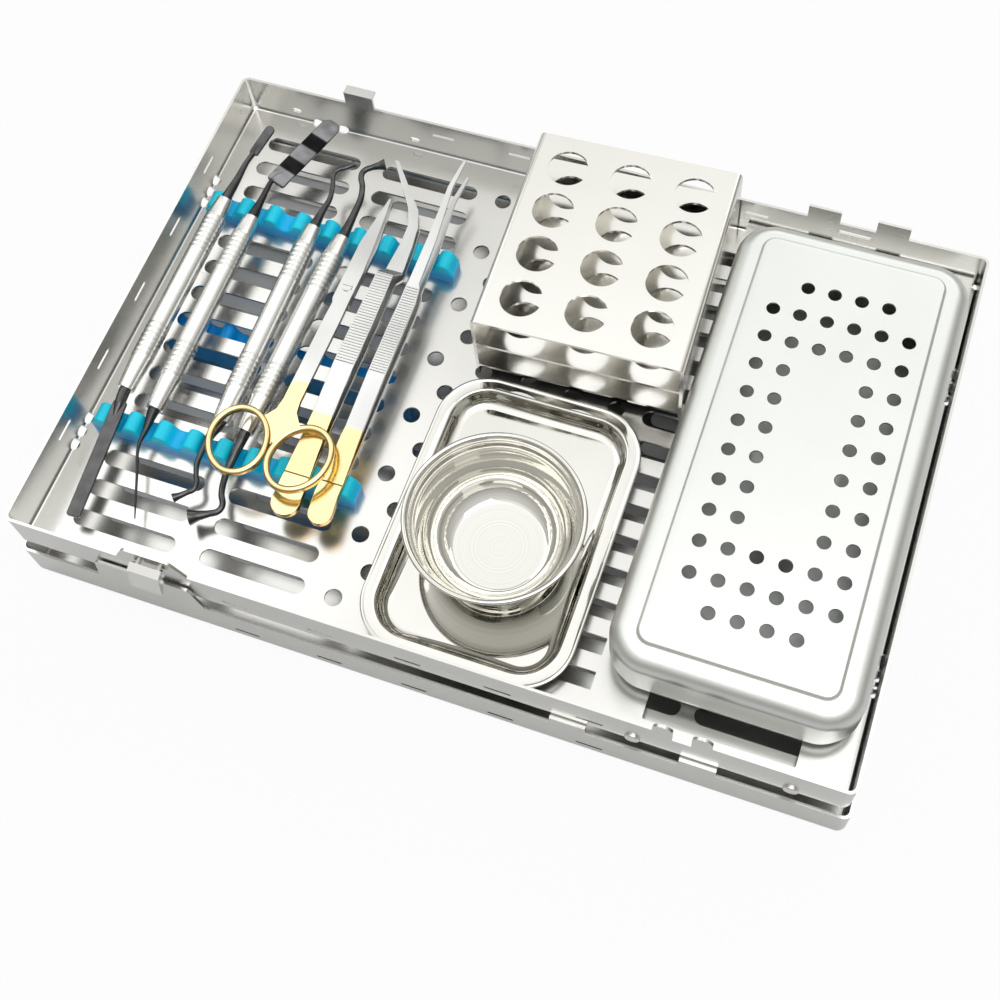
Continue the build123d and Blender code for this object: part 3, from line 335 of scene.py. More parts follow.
def coat(material, *nodes):
    """Give solids of the frame their finish."""
    for node in nodes:
        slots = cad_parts[node].data.materials
        slots.clear()
        slots.append(material)


def bevel(shape, geom, ease, segments, affect="EDGES", **more):
    """Round edges or corners; ease in millimetres."""
    bmesh.ops.bevel(shape, geom=geom, offset=ease * MM, segments=segments, profile=0.5, affect=affect,
                    material=-1, **more)


def plate(width, depth):
    """A flat rectangular face, middle on the origin; sizes in millimetres."""
    shape = bmesh.new()
    bmesh.ops.create_grid(shape, x_segments=1, y_segments=1, size=0.5)
    bmesh.ops.scale(shape, vec=(width * MM, depth * MM, 1), verts=shape.verts)
    return shape


def largest(shape):
    """The largest face of a shape."""
    return max(shape.faces, key=lambda face: face.calc_area())


def settle(shape):
    """Put a shape's vertices, edges and faces in the same order in every run, which spin alone doesn't do."""
    for number, vert in enumerate(sorted(shape.verts, key=lambda vert: tuple(vert.co))):
        vert.index = number
    shape.verts.sort()
    for parts in (shape.edges, shape.faces):
        for number, part in enumerate(sorted(parts, key=lambda part: sorted(vert.index for vert in part.verts))):
            part.index = number
        parts.sort()


def turned(profile, steps):
    """A closed shape turned round Z; its half profile of (radius, height) starts and ends on the axis."""
    shape = bmesh.new()
    verts = [shape.verts.new((radius * MM, 0, height * MM)) for radius, height in profile]
    edges = [shape.edges.new(pair) for pair in zip(verts, verts[1:])]
    bmesh.ops.spin(shape, geom=verts + edges, cent=(0, 0, 0), axis=(0, 0, 1), angle=2 * pi, steps=steps,
                   use_merge=True)
    bmesh.ops.remove_doubles(shape, verts=shape.verts, dist=SAME)
    bmesh.ops.recalc_face_normals(shape, faces=shape.faces)
    settle(shape)
    return shape


def flat_bar(length, width, thickness, nose, root, ease):
    """A flat bar along +Y from the origin; its far corners are rounded by nose and its near ones by root."""
    shape = plate(width, length)
    bmesh.ops.translate(shape, vec=(0, length * MM / 2, 0), verts=shape.verts)
    for far, radius in ((True, nose), (False, root)):
        corners = [vert for vert in shape.verts
                   if len(vert.link_edges) == 2 and (vert.co.y > length * MM / 2) == far]
        bevel(shape, corners[:2], radius, 7, "VERTICES")
    bmesh.ops.translate(shape, vec=(0, 0, -thickness * MM / 2), verts=shape.verts)
    raised = bmesh.ops.extrude_face_region(shape, geom=list(shape.faces))["geom"]
    lifted = [part for part in raised if isinstance(part, bmesh.types.BMVert)]
    bmesh.ops.translate(shape, vec=(0, 0, thickness * MM), verts=lifted)
    bmesh.ops.recalc_face_normals(shape, faces=shape.faces)
    rims = [edge for edge in shape.edges
            if edge.calc_face_angle(0) > 1 and abs(edge.verts[0].co.z - edge.verts[1].co.z) < SAME]
    bevel(shape, rims, ease, 2)
    return shape


def tube(points):
    """A smooth round rod through points of (x, y, radius) in millimetres, closed at both ends."""
    curve = bpy.data.curves.new("rod", "CURVE")
    curve.dimensions = "3D"
    curve.bevel_depth = MM
    curve.bevel_resolution = 5
    curve.resolution_u = 8
    curve.use_fill_caps = True
    spline = curve.splines.new("BEZIER")
    spline.bezier_points.add(len(points) - 1)
    for knot, (x, y, radius) in zip(spline.bezier_points, points):
        knot.co = (x * MM, y * MM, 0)
        knot.radius = radius
        knot.handle_left_type = knot.handle_right_type = "AUTO"
    holder = bpy.data.objects.new("rod", curve)
    mesh = bpy.data.meshes.new_from_object(holder)
    bpy.data.objects.remove(holder)
    bpy.data.curves.remove(curve)
    shape = bmesh.new()
    shape.from_mesh(mesh)
    bpy.data.meshes.remove(mesh)
    bmesh.ops.remove_doubles(shape, verts=shape.verts, dist=SAME)
    bmesh.ops.recalc_face_normals(shape, faces=shape.faces)
    return shape


def join(shapes, matrix=Matrix.Identity(4)):
    """Put several shapes in one, moved by a matrix."""
    whole = bmesh.new()
    for shape in shapes:
        mesh = bpy.data.meshes.new("part")
        shape.to_mesh(mesh)
        shape.free()
        whole.from_mesh(mesh)
        bpy.data.meshes.remove(mesh)
    bmesh.ops.transform(whole, matrix=matrix, verts=whole.verts)
    return whole


def eased_copy(node, ease, segments=2, choose=lambda edge: True, adjust=lambda shape: None):
    """A copy of a solid's mesh with its flats merged and its chosen sharp edges eased.

    Adjust may move vertices before that. The ease is in millimetres.
    """
    shape = bmesh.new()
    shape.from_mesh(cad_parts[node].data)
    bmesh.ops.remove_doubles(shape, verts=shape.verts, dist=WELD)
    bmesh.ops.dissolve_limit(shape, angle_limit=FLAT, verts=shape.verts, edges=shape.edges)
    adjust(shape)
    sharp = [edge for edge in shape.edges
             if len(edge.link_faces) == 2 and edge.calc_face_angle(0) > SHARP and choose(edge)]
    bevel(shape, sharp, ease, segments, clamp_overlap=True)
    return shape


# ---------------------------------------------------------------- what a user can change
def colour_setting(name, description, default):
    """A colour."""
    return FloatVectorProperty(name=name, description=description, subtype="COLOR", size=3, min=0, max=1,
                               default=default)


def size_setting(name, description, default, low, high):
    """A length with its limits; the default is in millimetres."""
    return FloatProperty(name=name, description=description + ", in metres", subtype="DISTANCE", unit="LENGTH",
                         precision=5, min=low, max=high, default=default * MM)


class CassetteSettings(PropertyGroup):
    """Sizes and colours of the dressed cassette."""
    steel: colour_setting("Sheet steel", "Tray, lid and platform", (0.68, 0.675, 0.65))
    rack_steel: colour_setting("Rack steel", "Tube rack", (0.88, 0.865, 0.825))
    box_steel: colour_setting("Box steel", "Membrane box and its lid", (0.71, 0.725, 0.70))
    mirror: colour_setting("Mirror steel", "Dish and bowl", (0.71, 0.70, 0.66))
    handle: colour_setting("Handle steel", "Handles of the instruments", (0.84, 0.84, 0.82))
    polished: colour_setting("Polished steel", "Scissors and tweezers", (0.60, 0.60, 0.59))
    gold: colour_setting("Gold", "Gilt rings and ends", (0.92, 0.78, 0.42))
    coating: colour_setting("Dark coating", "Working tips", (0.05, 0.05, 0.052))
    silicone: colour_setting("Silicone", "Crests of the rails", (0.005, 0.59, 1.0))
    # painted shade: the colour painted on the foot of the rails and on the lid's rail below the tray's floor
    silicone_painted_shade: colour_setting("Silicone in shade", "Foot of the rails", (0.0, 0.33, 0.85))
    rib_pitch: size_setting("Rib pitch", "Distance between the ribs of a handle", 2.1, 0.001, 0.004)
    rib_depth: size_setting("Rib depth", "Depth of the grooves between the ribs", 0.38, 0.0, 0.001)
    rail_ease: size_setting("Rail edge", "Rounding of the silicone rails", 1.0, 0.0001, 0.0015)
    edge_ease: size_setting("Edge", "Rounding of the edges of the tweezers", 0.22, 0.00005, 0.0005)
    field_ease: size_setting("Field edge", "Rounding of the raised field on the box lid", 0.7, 0.0001, 0.0008)
    lip: size_setting("Bowl lip", "Height of the rolled lip of the bowl", 1.5, 0.0005, 0.002)
    bead: size_setting("Dish bead", "Rise of the rolled rim of the dish", 0.35, 0.0, 0.0006)
    ridges: IntProperty(name="Grip ridges", description="Number of ridges on each pair of tweezers",
                        default=34, min=5, max=60)
    floor: colour_setting("Floor", "Colour of the table under the cassette", (0.88, 0.89, 0.89))


# ---------------------------------------------------------------- sheet metal and silicone
FIELD_INSET = Vector((8.8, 7.8, 0))   # from the sides of the box lid to its raised field
FIELD_SLOPE = 1.3                     # how far the field's sides lean inwards
FIELD_DEPTH = 2.0                     # the field's sides lie within this depth
FIELD_RIM = (0.93, 1.01)              # how far out the field's sides lie, as parts of its half width


class SheetMetal(Operator):
    """Finish the pressed sheet pieces and the small steel parts of the frame"""
    bl_idname = "cassette.sheet_metal"
    bl_label = "Sheet metal"

    def execute(self, context):
        own = settings()
        sheet = satin_steel("Pressed steel", own.steel, 0.23)
        coat(sheet, "tray_pan", "lid_shell", "box_platform")
        small = satin_steel("Small steel parts", shade(own.steel, 1.1), 0.22, 0.004)
        coat(small, "platform_rivets", "latch_lever", "latch_pin", "latch_spring")
        rack = satin_steel("Rack steel", own.rack_steel, 0.16, 0.006)
        coat(rack, "rack_frame", "rack_middle_plate", "rack_base_plate")
        box = satin_steel("Box steel", own.box_steel, 0.4, 0.01, 0.08, (1.4, 0.05, 1.4))
        coat(box, "membrane_box", "membrane_box_strainer", "membrane_box_press_plate")
        self.box_lid(own, box)
        return {"FINISHED"}

    @staticmethod
    def box_lid(own, material):
        lid = "membrane_box_lid"
        low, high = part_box(lid)
        middle, half = (low + high) / 2, (high - low) / 2 - FIELD_INSET * MM
        inner, outer = FIELD_RIM

        def rim(vert):
            """How far out a vertex lies; 1 is on the outline of the raised field."""
            spot = vert.co - middle
            return max(abs(spot.x) / half.x, abs(spot.y) / half.y)

        def lean(shape):
            """Lean the field's sides inwards."""
            tops = [vert for vert in shape.verts if vert.co.z > high.z - 0.05 * MM and rim(vert) > inner]
            inwards = (1 - FIELD_SLOPE * MM / half.x, 1 - FIELD_SLOPE * MM / half.y, 1)
            bmesh.ops.scale(shape, vec=inwards, space=Matrix.Translation(-middle), verts=tops)

        def on_field(edge):
            """True for the upper and lower edges of the field's sides."""
            out = [rim(vert) for vert in edge.verts]
            lowest = min(vert.co.z for vert in edge.verts)
            return min(out) > inner and max(out) < outer and lowest > high.z - FIELD_DEPTH * MM

        shape = eased_copy(lid, own.field_ease / MM, 3, on_field, lean)
        put(shape, "eased_" + lid, lid, material, (lid,), radians(38))


class Rails(Operator):
    """Soften the three scalloped silicone rails"""
    bl_idname = "cassette.rails"
    bl_label = "Silicone rails"

    def execute(self, context):
        own = settings()
        silicone = soft_silicone("Blue silicone", own.silicone, own.silicone_painted_shade)
        for node, body in (("rear_silicone_rail", "tray"), ("front_silicone_rail", "tray"),
                           ("lid_silicone_rail", "lid")):
            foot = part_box(node)[0].z + 2 * MM

            def upper(edge, foot=foot):
                """True for the edges of the front and the back, above the foot."""
                middle = (edge.verts[0].co + edge.verts[1].co) / 2
                return middle.z > foot and any(abs(face.normal.y) > 0.9 for face in edge.link_faces)

            shape = eased_copy(node, own.rail_ease / MM, 3, upper)
            put(shape, "soft_" + node, body, silicone, (node,))
        return {"FINISHED"}


# ---------------------------------------------------------------- bowl and dish
BOWL_LIP_RADIUS = 0.8
# (radius, height) from the foot up to the rim
BOWL_OUTSIDE = ((0, 0.25), (15.4, 0.25), (16.0, 0), (16.8, 0), (17.8, 0.8), (20.5, 2.2), (23.2, 5.0), (25.2, 8.6),
                (26.6, 12.8), (27.7, 17.0), (28.7, 21.0))
# (distance inside the lip, depth below the top), then (radius, height) down to the middle
BOWL_STEPS = ((0, 0.1), (0.6, 0.9), (1.0, 2.2), (1.1, 3.4), (1.8, 3.9), (2.2, 5.5), (2.5, 7.4))
BOWL_INSIDE = ((26.1, 17.0), (25.7, 12.9), (24.9, 10.4), (23.6, 7.4), (21.6, 4.6), (19.2, 2.7), (17.6, 1.7),
               (16.6, 1.15), (15.8, 0.95), (0, 0.95))
DISH_CORNER = 19.0
DISH_WALL = 0.7
# (inset, rise as a part of the bead) over the rolled rim, then (inset, rise) down into the recess
DISH_BEAD = ((0.25, 0.5), (0.25, 0.3), (0.35, 0.2), (0.3, -0.5), (0.5, -0.5))
DISH_RECESS = ((2.4, 0), (0.4, 0.12), (0.5, 0.05), (0.5, -0.45), (0.35, -0.9), (0.25, -1.6), (0.35, -1.4),
               (0.8, -1.15), (1.2, -0.6), (1.6, -0.25))


class MixingBowl(Operator):
    """Turn the mixing bowl with its rolled lip and stepped inside"""
    bl_idname = "cassette.mixing_bowl"
    bl_label = "Mixing bowl"

    def execute(self, context):
        own = settings()
        low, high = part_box("mixing_bowl")
        centre = Vector(((low.x + high.x) / 2, (low.y + high.y) / 2, low.z))
        rim, top = (high.x - low.x) / 2 / MM, (high.z - low.z) / MM
        roll = BOWL_LIP_RADIUS
        angles = [pi * (step / 6 - 0.5) for step in range(7)]
        rolled = [(rim - roll + roll * cos(angle), top - roll + roll * sin(angle)) for angle in angles]
        steps = [(rim - own.lip / MM - inwards, top - depth) for inwards, depth in BOWL_STEPS]
        bowl = turned([*BOWL_OUTSIDE, (rim - 2 * roll, top - 3 * roll), *rolled, *steps, *BOWL_INSIDE], 128)
        bmesh.ops.translate(bowl, vec=centre, verts=bowl.verts)
        metal = spun_steel("Spun bowl steel", own.mirror, centre)
        put(bowl, "spun_mixing_bowl", "mixing_bowl", metal, ("mixing_bowl",), radians(50))
        return {"FINISHED"}


class MirrorDish(Operator):
    """Press the mirror dish with its beaded flange and rounded recess"""
    bl_idname = "cassette.mirror_dish"
    bl_label = "Mirror dish"

    def execute(self, context):
        own = settings()
        low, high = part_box("mirror_dish")
        dish = plate((high.x - low.x) / MM, (high.y - low.y) / MM)
        bevel(dish, list(dish.verts), DISH_CORNER, 16, "VERTICES")
        bead = own.bead / MM
        steps = [(inset, part * bead) for inset, part in DISH_BEAD] + list(DISH_RECESS)
        for inset, rise in steps:
            bmesh.ops.inset_region(dish, faces=[largest(dish)], thickness=inset * MM, depth=rise * MM,
                                   use_boundary=True, use_even_offset=True)
        flange = DISH_WALL - sum(rise for inset, rise in steps)
        place = Vector(((low.x + high.x) / 2, (low.y + high.y) / 2, low.z + flange * MM))
        bmesh.ops.translate(dish, vec=place, verts=dish.verts)
        bmesh.ops.recalc_face_normals(dish, faces=dish.faces)
        if largest(dish).normal.z < 0:
            bmesh.ops.reverse_faces(dish, faces=dish.faces)
        metal = mirror_steel("Mirror steel", own.mirror)
        piece = put(dish, "pressed_mirror_dish", "mirror_dish", metal, ("mirror_dish",),
                    radians(60))
        wall = piece.modifiers.new("Wall", "SOLIDIFY")
        wall.thickness, wall.offset = DISH_WALL * MM, -1
        piece.modifiers.move(1, 0)   # the wall comes before the even normals
        return {"FINISHED"}


# ---------------------------------------------------------------- hand instruments
HANDLE_HALF = 43.5            # half the length of a handle
HANDLE_RADIUS = 4.25
HANDLE_TILT = radians(2.4)    # the rear ends lie higher
REAR_GRIP = (9.0, 8)          # plain length at the end of a handle, and the number of ribs after it
FRONT_GRIP = (14.3, 7)
# name: middle (x, y, height above the tray's floor) and turn about Z in degrees
INSTRUMENTS = {
    "scraper": (-135.4, 3.6, 11.5, -1.2),
    "retractor": (-122.4, -0.1, 9.8, -0.9),
    "small_plugger": (-97.0, 2.7, 9.8, -0.5),
    "large_plugger": (-85.3, 1.3, 10.2, -1.9),
}
SOCKET = ((0, -1, 2.4), (0, 0.8, 2.4))   # the root of every tip, inside the handle's end
# (name, side): (sideways, distance from the handle's end, radius) along each round neck
ROD_TIPS = {
    ("scraper", 1): ((0.5, 11, 1.6), (0.6, 19, 1.2), (1.3, 23.5, 1.2), (2.0, 28, 0.5)),
    ("scraper", -1): ((0.6, 6, 2.2), (1.3, 12, 0.6)),
    ("retractor", 1): ((0.2, 9, 1.5), (0.2, 15, 1.2), (0.5, 18.5, 1.1), (4.5, 25, 0.5)),
    ("retractor", -1): ((0.6, 8.4, 1.3), (0.8, 14, 0.8), (2.0, 18, 0.65), (3.9, 21.9, 0.6), (9.5, 34.4, 0.5),
                        (12.5, 41.1, 0.25)),
    ("small_plugger", 1): ((0.5, 9, 1.4), (0.9, 14, 1.2), (-0.3, 20, 1.1), (-1.9, 25, 1.1), (-1.4, 27.4, 1.1),
                           (1.1, 29.3, 1.1), (2.9, 30.9, 1.2), (4.4, 32.2, 1.7)),
    ("small_plugger", -1): ((-1.2, 6, 1.9), (-1.5, 12, 1.3), (-1.2, 17.8, 1.15), (0.4, 22, 1.1), (2.1, 25.3, 1.1),
                            (1.9, 27.5, 1.1), (0.2, 29.1, 1.1), (-1.9, 31.1, 1.3), (-3.8, 32.7, 1.9)),
    ("large_plugger", 1): ((-0.1, 11, 1.6), (-0.5, 18.8, 1.4), (-2.2, 24.3, 1.3), (-4.7, 29.2, 1.3),
                           (-4.3, 31.5, 1.3), (-2.2, 33.6, 1.3), (0.2, 35.2, 1.7), (2.4, 36.6, 2.7)),
    ("large_plugger", -1): ((0.3, 13, 1.7), (0.9, 19, 1.4), (2.4, 24.5, 1.3), (4.7, 28.7, 1.3), (4.2, 31, 1.3),
                            (1.6, 32.9, 1.4), (-1.6, 34.8, 2.0), (-4.6, 36.6, 3.4)),
}
NECK_SLIM = 0.9                          # part of those radii that is made
FLAT_TIP_ROOT = 1.0                      # rounding of the corners at the root of a flat tip
FLAT_TIP_EASE = 0.3                      # rounding of its edges
# (name, side): (start, end, width, thickness, nose radius) of each flat tip
FLAT_TIPS = {
    ("scraper", 1): ((1.4, 23), (3.2, 37.5), 4.0, 1.2, 1.8),
    ("scraper", -1): ((0.7, 5), (5.0, 51.5), 5.4, 1.3, 1.2),
    ("retractor", 1): ((2.0, 17.5), (13.4, 51.5), 8.5, 1.2, 3.4),
}


def instrument_matrix(name):
    """Where the middle of a handle lies and how it is turned."""
    x, y, height, heading = INSTRUMENTS[name]
    place = Matrix.Translation((x * MM, y * MM, TRAY_FLOOR + height * MM))
    return place @ Matrix.Rotation(HANDLE_TILT, 4, "X") @ Matrix.Rotation(radians(heading), 4, "Z")


def grip_profile(plain, count, pitch, depth):
    """Half profile of one end of a handle, from its end face towards the plain middle."""
    start = HANDLE_HALF - plain
    groove, crest = HANDLE_RADIUS - depth, HANDLE_RADIUS - 0.08
    profile = [(3.0, HANDLE_HALF), (3.2, HANDLE_HALF - 0.3), (3.45, HANDLE_HALF - plain * 0.35),
               (3.95, start + 1.2), (HANDLE_RADIUS, start + 0.5)]
    for rib in range(count):
        top = start - pitch * rib
        profile += [(HANDLE_RADIUS, top), (groove, top - 0.12), (groove, top - 0.3), (crest, top - 0.42),
                    (crest, top - 0.62), (groove, top - 0.74), (groove, top - 0.9), (HANDLE_RADIUS, top - 1.05)]
    profile.append((HANDLE_RADIUS - 0.12, profile[-1][1] - 1.2))
    return profile


class Handles(Operator):
    """Turn the four ribbed handles"""
    bl_idname = "cassette.handles"
    bl_label = "Instrument handles"

    def execute(self, context):
        own = settings()
        pitch, depth = own.rib_pitch / MM, own.rib_depth / MM
        rear = grip_profile(*REAR_GRIP, pitch, depth)
        front = [(radius, -height) for radius, height in grip_profile(*FRONT_GRIP, pitch, depth)]
        profile = [(0, HANDLE_HALF), *rear, *reversed(front), (0, -HANDLE_HALF)]
        metal = satin_steel("Handle steel", own.handle, 0.27, 0.003, 0.03, (1.2, 0.03, 1.2))
        lay_down = Matrix.Rotation(-pi / 2, 4, "X")
        for name in INSTRUMENTS:
            shape = turned(profile, 48)
            bmesh.ops.transform(shape, matrix=instrument_matrix(name) @ lay_down, verts=shape.verts)
            put(shape, "turned_" + name + "_handle", name, metal, (name + "_handle",),
                radians(40))
        return {"FINISHED"}


class Tips(Operator):
    """Forge the dark working tips of the four instruments"""
    bl_idname = "cassette.tips"
    bl_label = "Instrument tips"

    def execute(self, context):
        own = settings()
        plain = coated_steel("Dark coating", own.coating)
        # the retractor's blade gets the painted reflection bands
        reflection_banded = coated_steel("Reflection banded coating", own.coating, True)
        for name in INSTRUMENTS:
            metal = reflection_banded if name == "retractor" else plain
            shapes = []
            for side in (1, -1):
                knots = [*SOCKET, *ROD_TIPS[name, side]]
                shapes.append(tube([(x, side * (HANDLE_HALF + reach), radius * NECK_SLIM)
                                    for x, reach, radius in knots]))
                if (name, side) in FLAT_TIPS:
                    start, end, *sizes = FLAT_TIPS[name, side]
                    shapes.append(self.flat_tip(start, end, side, *sizes))
            whole = join(shapes, instrument_matrix(name))
            put(whole, "forged_" + name + "_tips", name, metal, (name + "_tips",), radians(45))
        return {"FINISHED"}

    @staticmethod
    def flat_tip(start, end, side, width, thickness, nose):
        """A flat bar from start to end, each (sideways, distance from the handle's end)."""
        first, last = (Vector((x, side * (HANDLE_HALF + reach), 0)) for x, reach in (start, end))
        bar = flat_bar((last - first).length, width, thickness, nose, FLAT_TIP_ROOT, FLAT_TIP_EASE)
        way = (last - first).to_track_quat("Y", "Z").to_matrix().to_4x4()
        bmesh.ops.transform(bar, matrix=Matrix.Translation(first * MM) @ way, verts=bar.verts)
        return bar


# ---------------------------------------------------------------- tweezers and scissors
TWEEZERS_HEIGHT = 9.8         # underside of the tweezers above the tray's floor
RIDGE_RADIUS = 0.36           # of the ridges across a grip
RIDGE_MARGIN = 0.9            # how much shorter a ridge is than the grip is wide
SCISSORS_BORDER = -21.3       # where the gilt ends
# name: rear end (x, y) of the middle line, gilt border, then (distance from the rear, value) knots of
# the grip's sideways shift, of its width and of how high the back of the sprung arm rises
TWEEZERS = {
    "angled_tweezers": ((-60.0, -69.4), -29.4, ((61.6, -0.2), (81.8, 0.0), (100.6, 0.0)),
                        ((61.6, 7.9), (81.8, 7.5), (100.6, 6.6)), ((60, 7.3), (90, 7.8), (101, 8.0))),
    "straight_tweezers": ((-47.0, -68.7), -31.5, ((60.7, -0.3), (80.3, -0.45), (91.3, -0.35), (97.0, -0.65)),
                          ((60.7, 6.7), (80.3, 6.4), (91.3, 6.1), (97.0, 5.5)), ((60, 7.3), (90, 7.8), (120, 9.9))),
}


def between(knots, place):
    """The value at a place on a broken line of (place, value) knots."""
    for (first, low), (last, high) in zip(knots, knots[1:]):
        if place <= last:
            return low + (high - low) * (place - first) / (last - first)
    return knots[-1][1]


class Tweezers(Operator):
    """Ease the arms of both pairs of tweezers, gild their ends and cut their grips"""
    bl_idname = "cassette.tweezers"
    bl_label = "Tweezers"

    def execute(self, context):
        own = settings()
        for name, ((x, y), border, shifts, widths, backs) in TWEEZERS.items():
            metal = gilt_steel(name.capitalize(), own.polished, own.gold, border * MM)
            lower, upper = name + "_lower_arm", name + "_upper_arm"
            put(eased_copy(lower, own.edge_ease / MM), "eased_" + lower, name, metal, (lower,))
            arm = eased_copy(upper, own.edge_ease / MM)
            put(arm, "eased_" + upper, name + "_upper", metal, (upper,))
            start, end = shifts[0][0], shifts[-1][0]
            ridges = []
            for number in range(own.ridges):
                reach = start + (end - start) * number / (own.ridges - 1)
                length = between(widths, reach) - RIDGE_MARGIN
                ridge = bmesh.new()
                bmesh.ops.create_cone(ridge, cap_ends=True, segments=6, radius1=RIDGE_RADIUS * MM,
                                      radius2=RIDGE_RADIUS * MM, depth=length * MM)
                height = TRAY_FLOOR / MM + TWEEZERS_HEIGHT + between(backs, reach)
                spot = Vector((x + between(shifts, reach), y + reach, height))
                matrix = Matrix.Translation(spot * MM) @ Matrix.Rotation(pi / 2, 4, "Y")
                bmesh.ops.transform(ridge, matrix=matrix, verts=ridge.verts)
                ridges.append(ridge)
            put(join(ridges), name + "_grip", name + "_upper", metal)
        return {"FINISHED"}


class Scissors(Operator):
    """Polish the scissors and gild their rings"""
    bl_idname = "cassette.scissors"
    bl_label = "Scissors"

    def execute(self, context):
        own = settings()
        metal = gilt_steel("Scissors steel", own.polished, own.gold, SCISSORS_BORDER * MM)
        coat(metal, "scissors_left_ring_half", "scissors_right_ring_half", "scissors_screw")
        return {"FINISHED"}


# ---------------------------------------------------------------- the stage
# name, place, size and power of each lamp; they all point at the origin
LAMPS = (("Key", (0.35, -0.25, 1.3), (0.9, 0.9), 5.0), ("Fill", (-0.9, 0.4, 0.9), (0.7, 1.2), 2.0),
         ("Rear", (0.2, 1.1, 0.8), (1.2, 0.5), 2.5))
CAMERA_PLACE = (0.11526, -0.23441, 0.51098)
CAMERA_TURN = (28.1338, 3.6751, 19.5885)   # in degrees
CAMERA_LENS = 54.238
CAMERA_SHIFT = (-0.00744, -0.09322)
TABLE_DROP = 0.2                    # of the table's top below the lid
COVERED = (0.144, 0.100)            # half width and depth of the table under the lid, which stays matt
TABLE_GLOW = 0.93                   # how white the open table is to the camera
# (height of a direction, colour of the room there) as polished metal sees it
ROOM = ((0.0, (0.42, 0.41, 0.385)), (0.22, (0.17, 0.16, 0.145)), (0.48, (0.38, 0.37, 0.35)),
        (0.74, (0.60, 0.60, 0.585)), (0.85, (0.80, 0.80, 0.79)), (0.94, (1.0, 1.0, 1.0)))
ROOM_LIGHT = 1.42
SOFT_LIGHT = 0.5                    # of the sky on matt surfaces
WHITE = (1.0, 1.0, 1.0)


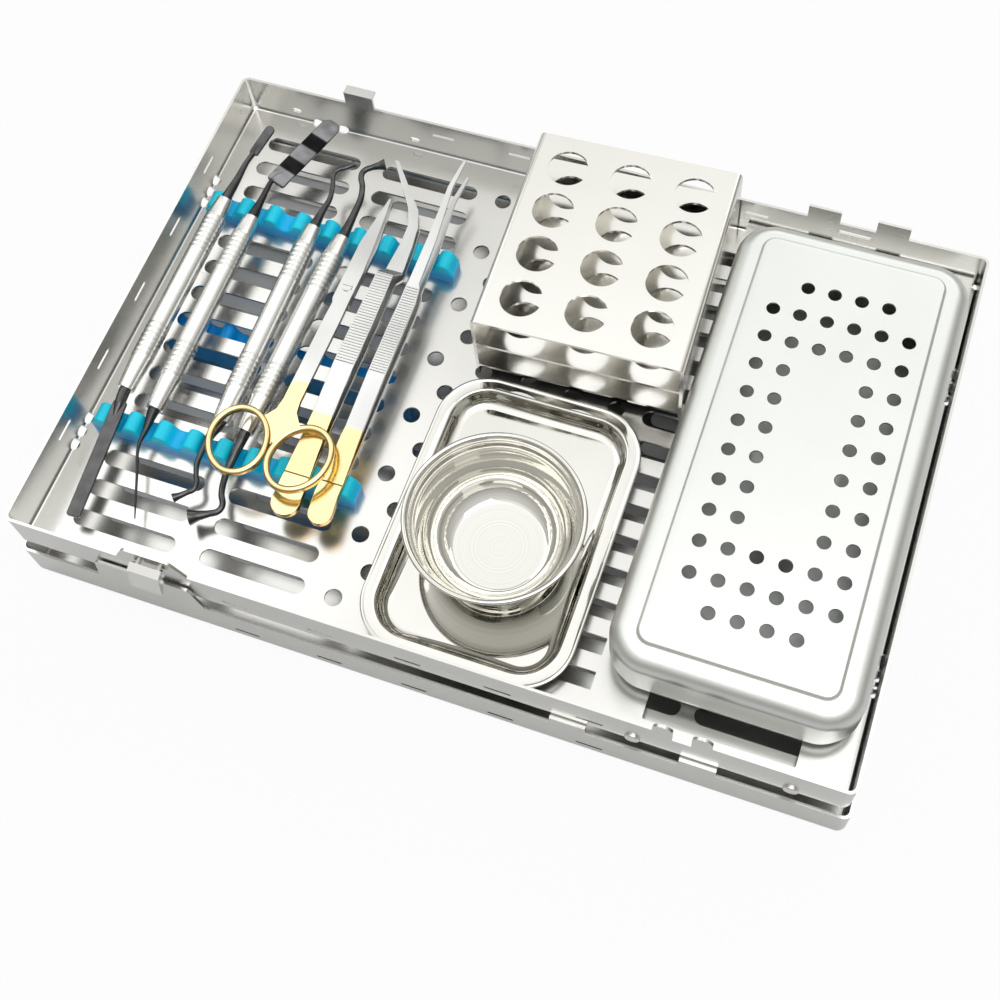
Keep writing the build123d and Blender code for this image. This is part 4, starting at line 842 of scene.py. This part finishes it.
class Stage(Operator):
    """Lay the pale table, hang the soft lights and set up the camera"""
    bl_idname = "cassette.stage"
    bl_label = "Stage"

    def execute(self, context):
        scene = context.scene
        self.table(scene, settings())
        self.sky(scene)
        for name, place, size, power in LAMPS:
            light = bpy.data.lights.new(name, "AREA")
            light.shape, light.size, light.size_y, light.energy = "RECTANGLE", *size, power
            lamp = bpy.data.objects.new(name, light)
            lamp.location = place
            lamp.rotation_euler = (-Vector(place)).to_track_quat("-Z", "Y").to_euler()
            scene.collection.objects.link(lamp)
        view = bpy.data.cameras.new("Camera")
        view.lens, view.sensor_width = CAMERA_LENS, 36
        view.shift_x, view.shift_y = CAMERA_SHIFT
        view.clip_start, view.clip_end = 0.01, 50
        camera = bpy.data.objects.new("Camera", view)
        camera.location = CAMERA_PLACE
        camera.rotation_euler = [radians(angle) for angle in CAMERA_TURN]
        scene.collection.objects.link(camera)
        scene.camera = camera
        scene.view_settings.view_transform = "Standard"
        return {"FINISHED"}

    @staticmethod
    def table(scene, own):
        """A wide matt table that looks white to the camera, with the object's shadow on it."""
        shape = bmesh.new()
        bmesh.ops.create_grid(shape, x_segments=1, y_segments=1, size=3.0)
        bmesh.ops.translate(shape, vec=(0, 0, -TABLE_DROP * MM), verts=shape.verts)
        mesh = bpy.data.meshes.new("Table")
        shape.to_mesh(mesh)
        shape.free()
        table = bpy.data.objects.new("Table", mesh)
        scene.collection.objects.link(table)
        material = bpy.data.materials.new("Pale table")
        look = Shading.cleared(material)
        seen = look.node("ShaderNodeLightPath")
        matt = look.node("ShaderNodeBsdfDiffuse", None, {"Color": own.floor})
        white = look.node("ShaderNodeEmission", None, {"Color": WHITE, "Strength": 1.0})
        size = look.node("ShaderNodeVectorMath", {"operation": "ABSOLUTE"}, {0: look.place()})
        beside, beyond = (look.axis(size, number) > COVERED[number] for number in (0, 1))
        glow = seen * beside.math("MAXIMUM", beyond) * TABLE_GLOW
        both = look.node("ShaderNodeMixShader", None, {0: glow, 1: matt, 2: white})
        look.node("ShaderNodeOutputMaterial", None, {0: both})
        mesh.materials.append(material)

    @staticmethod
    def sky(scene):
        """A white sky to the camera, a room with a dark horizon to polished metal, and soft light elsewhere."""
        world = bpy.data.worlds.new("Studio")
        look = Shading.cleared(world)
        seen = look.node("ShaderNodeLightPath")
        gloss = look.node("ShaderNodeLightPath", output=3)
        through = look.node("ShaderNodeLightPath", output=6)
        height = look.axis(look.node("ShaderNodeTexCoord"), 2)
        room = look.node("ShaderNodeValToRGB", {"stops": ROOM}, {0: height})
        soft = look.node("ShaderNodeBackground", None, {"Color": WHITE, "Strength": SOFT_LIGHT})
        bright = look.node("ShaderNodeBackground", None, {"Color": room, "Strength": ROOM_LIGHT})
        white = look.node("ShaderNodeBackground", None, {"Color": WHITE, "Strength": 1.0})
        lit = look.node("ShaderNodeMixShader", None, {0: gloss, 1: soft, 2: bright})
        whole = look.node("ShaderNodeMixShader", None, {0: seen + through, 1: lit, 2: white})
        look.node("ShaderNodeOutputWorld", None, {0: whole})
        scene.world = world


# ---------------------------------------------------------------- the add-on
class CassettePanel(Panel):
    """Lists the pieces of the cassette and their sizes and colours"""
    bl_idname = "CASSETTE_PT_main"
    bl_label = "Instrument cassette"
    bl_space_type = "VIEW_3D"
    bl_region_type = "UI"
    bl_category = "Cassette"

    def draw(self, context):
        own = context.scene.cassette
        for name in CassetteSettings.__annotations__:
            self.layout.prop(own, name)
        for maker in MAKERS:
            self.layout.operator(maker.bl_idname)


MAKERS = (Stage, SheetMetal, Rails, MixingBowl, MirrorDish, Handles, Tips, Tweezers, Scissors)


def register():
    for kind in (CassetteSettings, *MAKERS, CassettePanel):
        bpy.utils.register_class(kind)
    bpy.types.Scene.cassette = PointerProperty(type=CassetteSettings)


def unregister():
    del bpy.types.Scene.cassette
    for kind in reversed((CassetteSettings, *MAKERS, CassettePanel)):
        bpy.utils.unregister_class(kind)


def main():
    """Make the whole cassette."""
    register()
    for maker in MAKERS:
        group, name = maker.bl_idname.split(".")
        getattr(getattr(bpy.ops, group), name)()


if __name__ == "__main__":
    main()
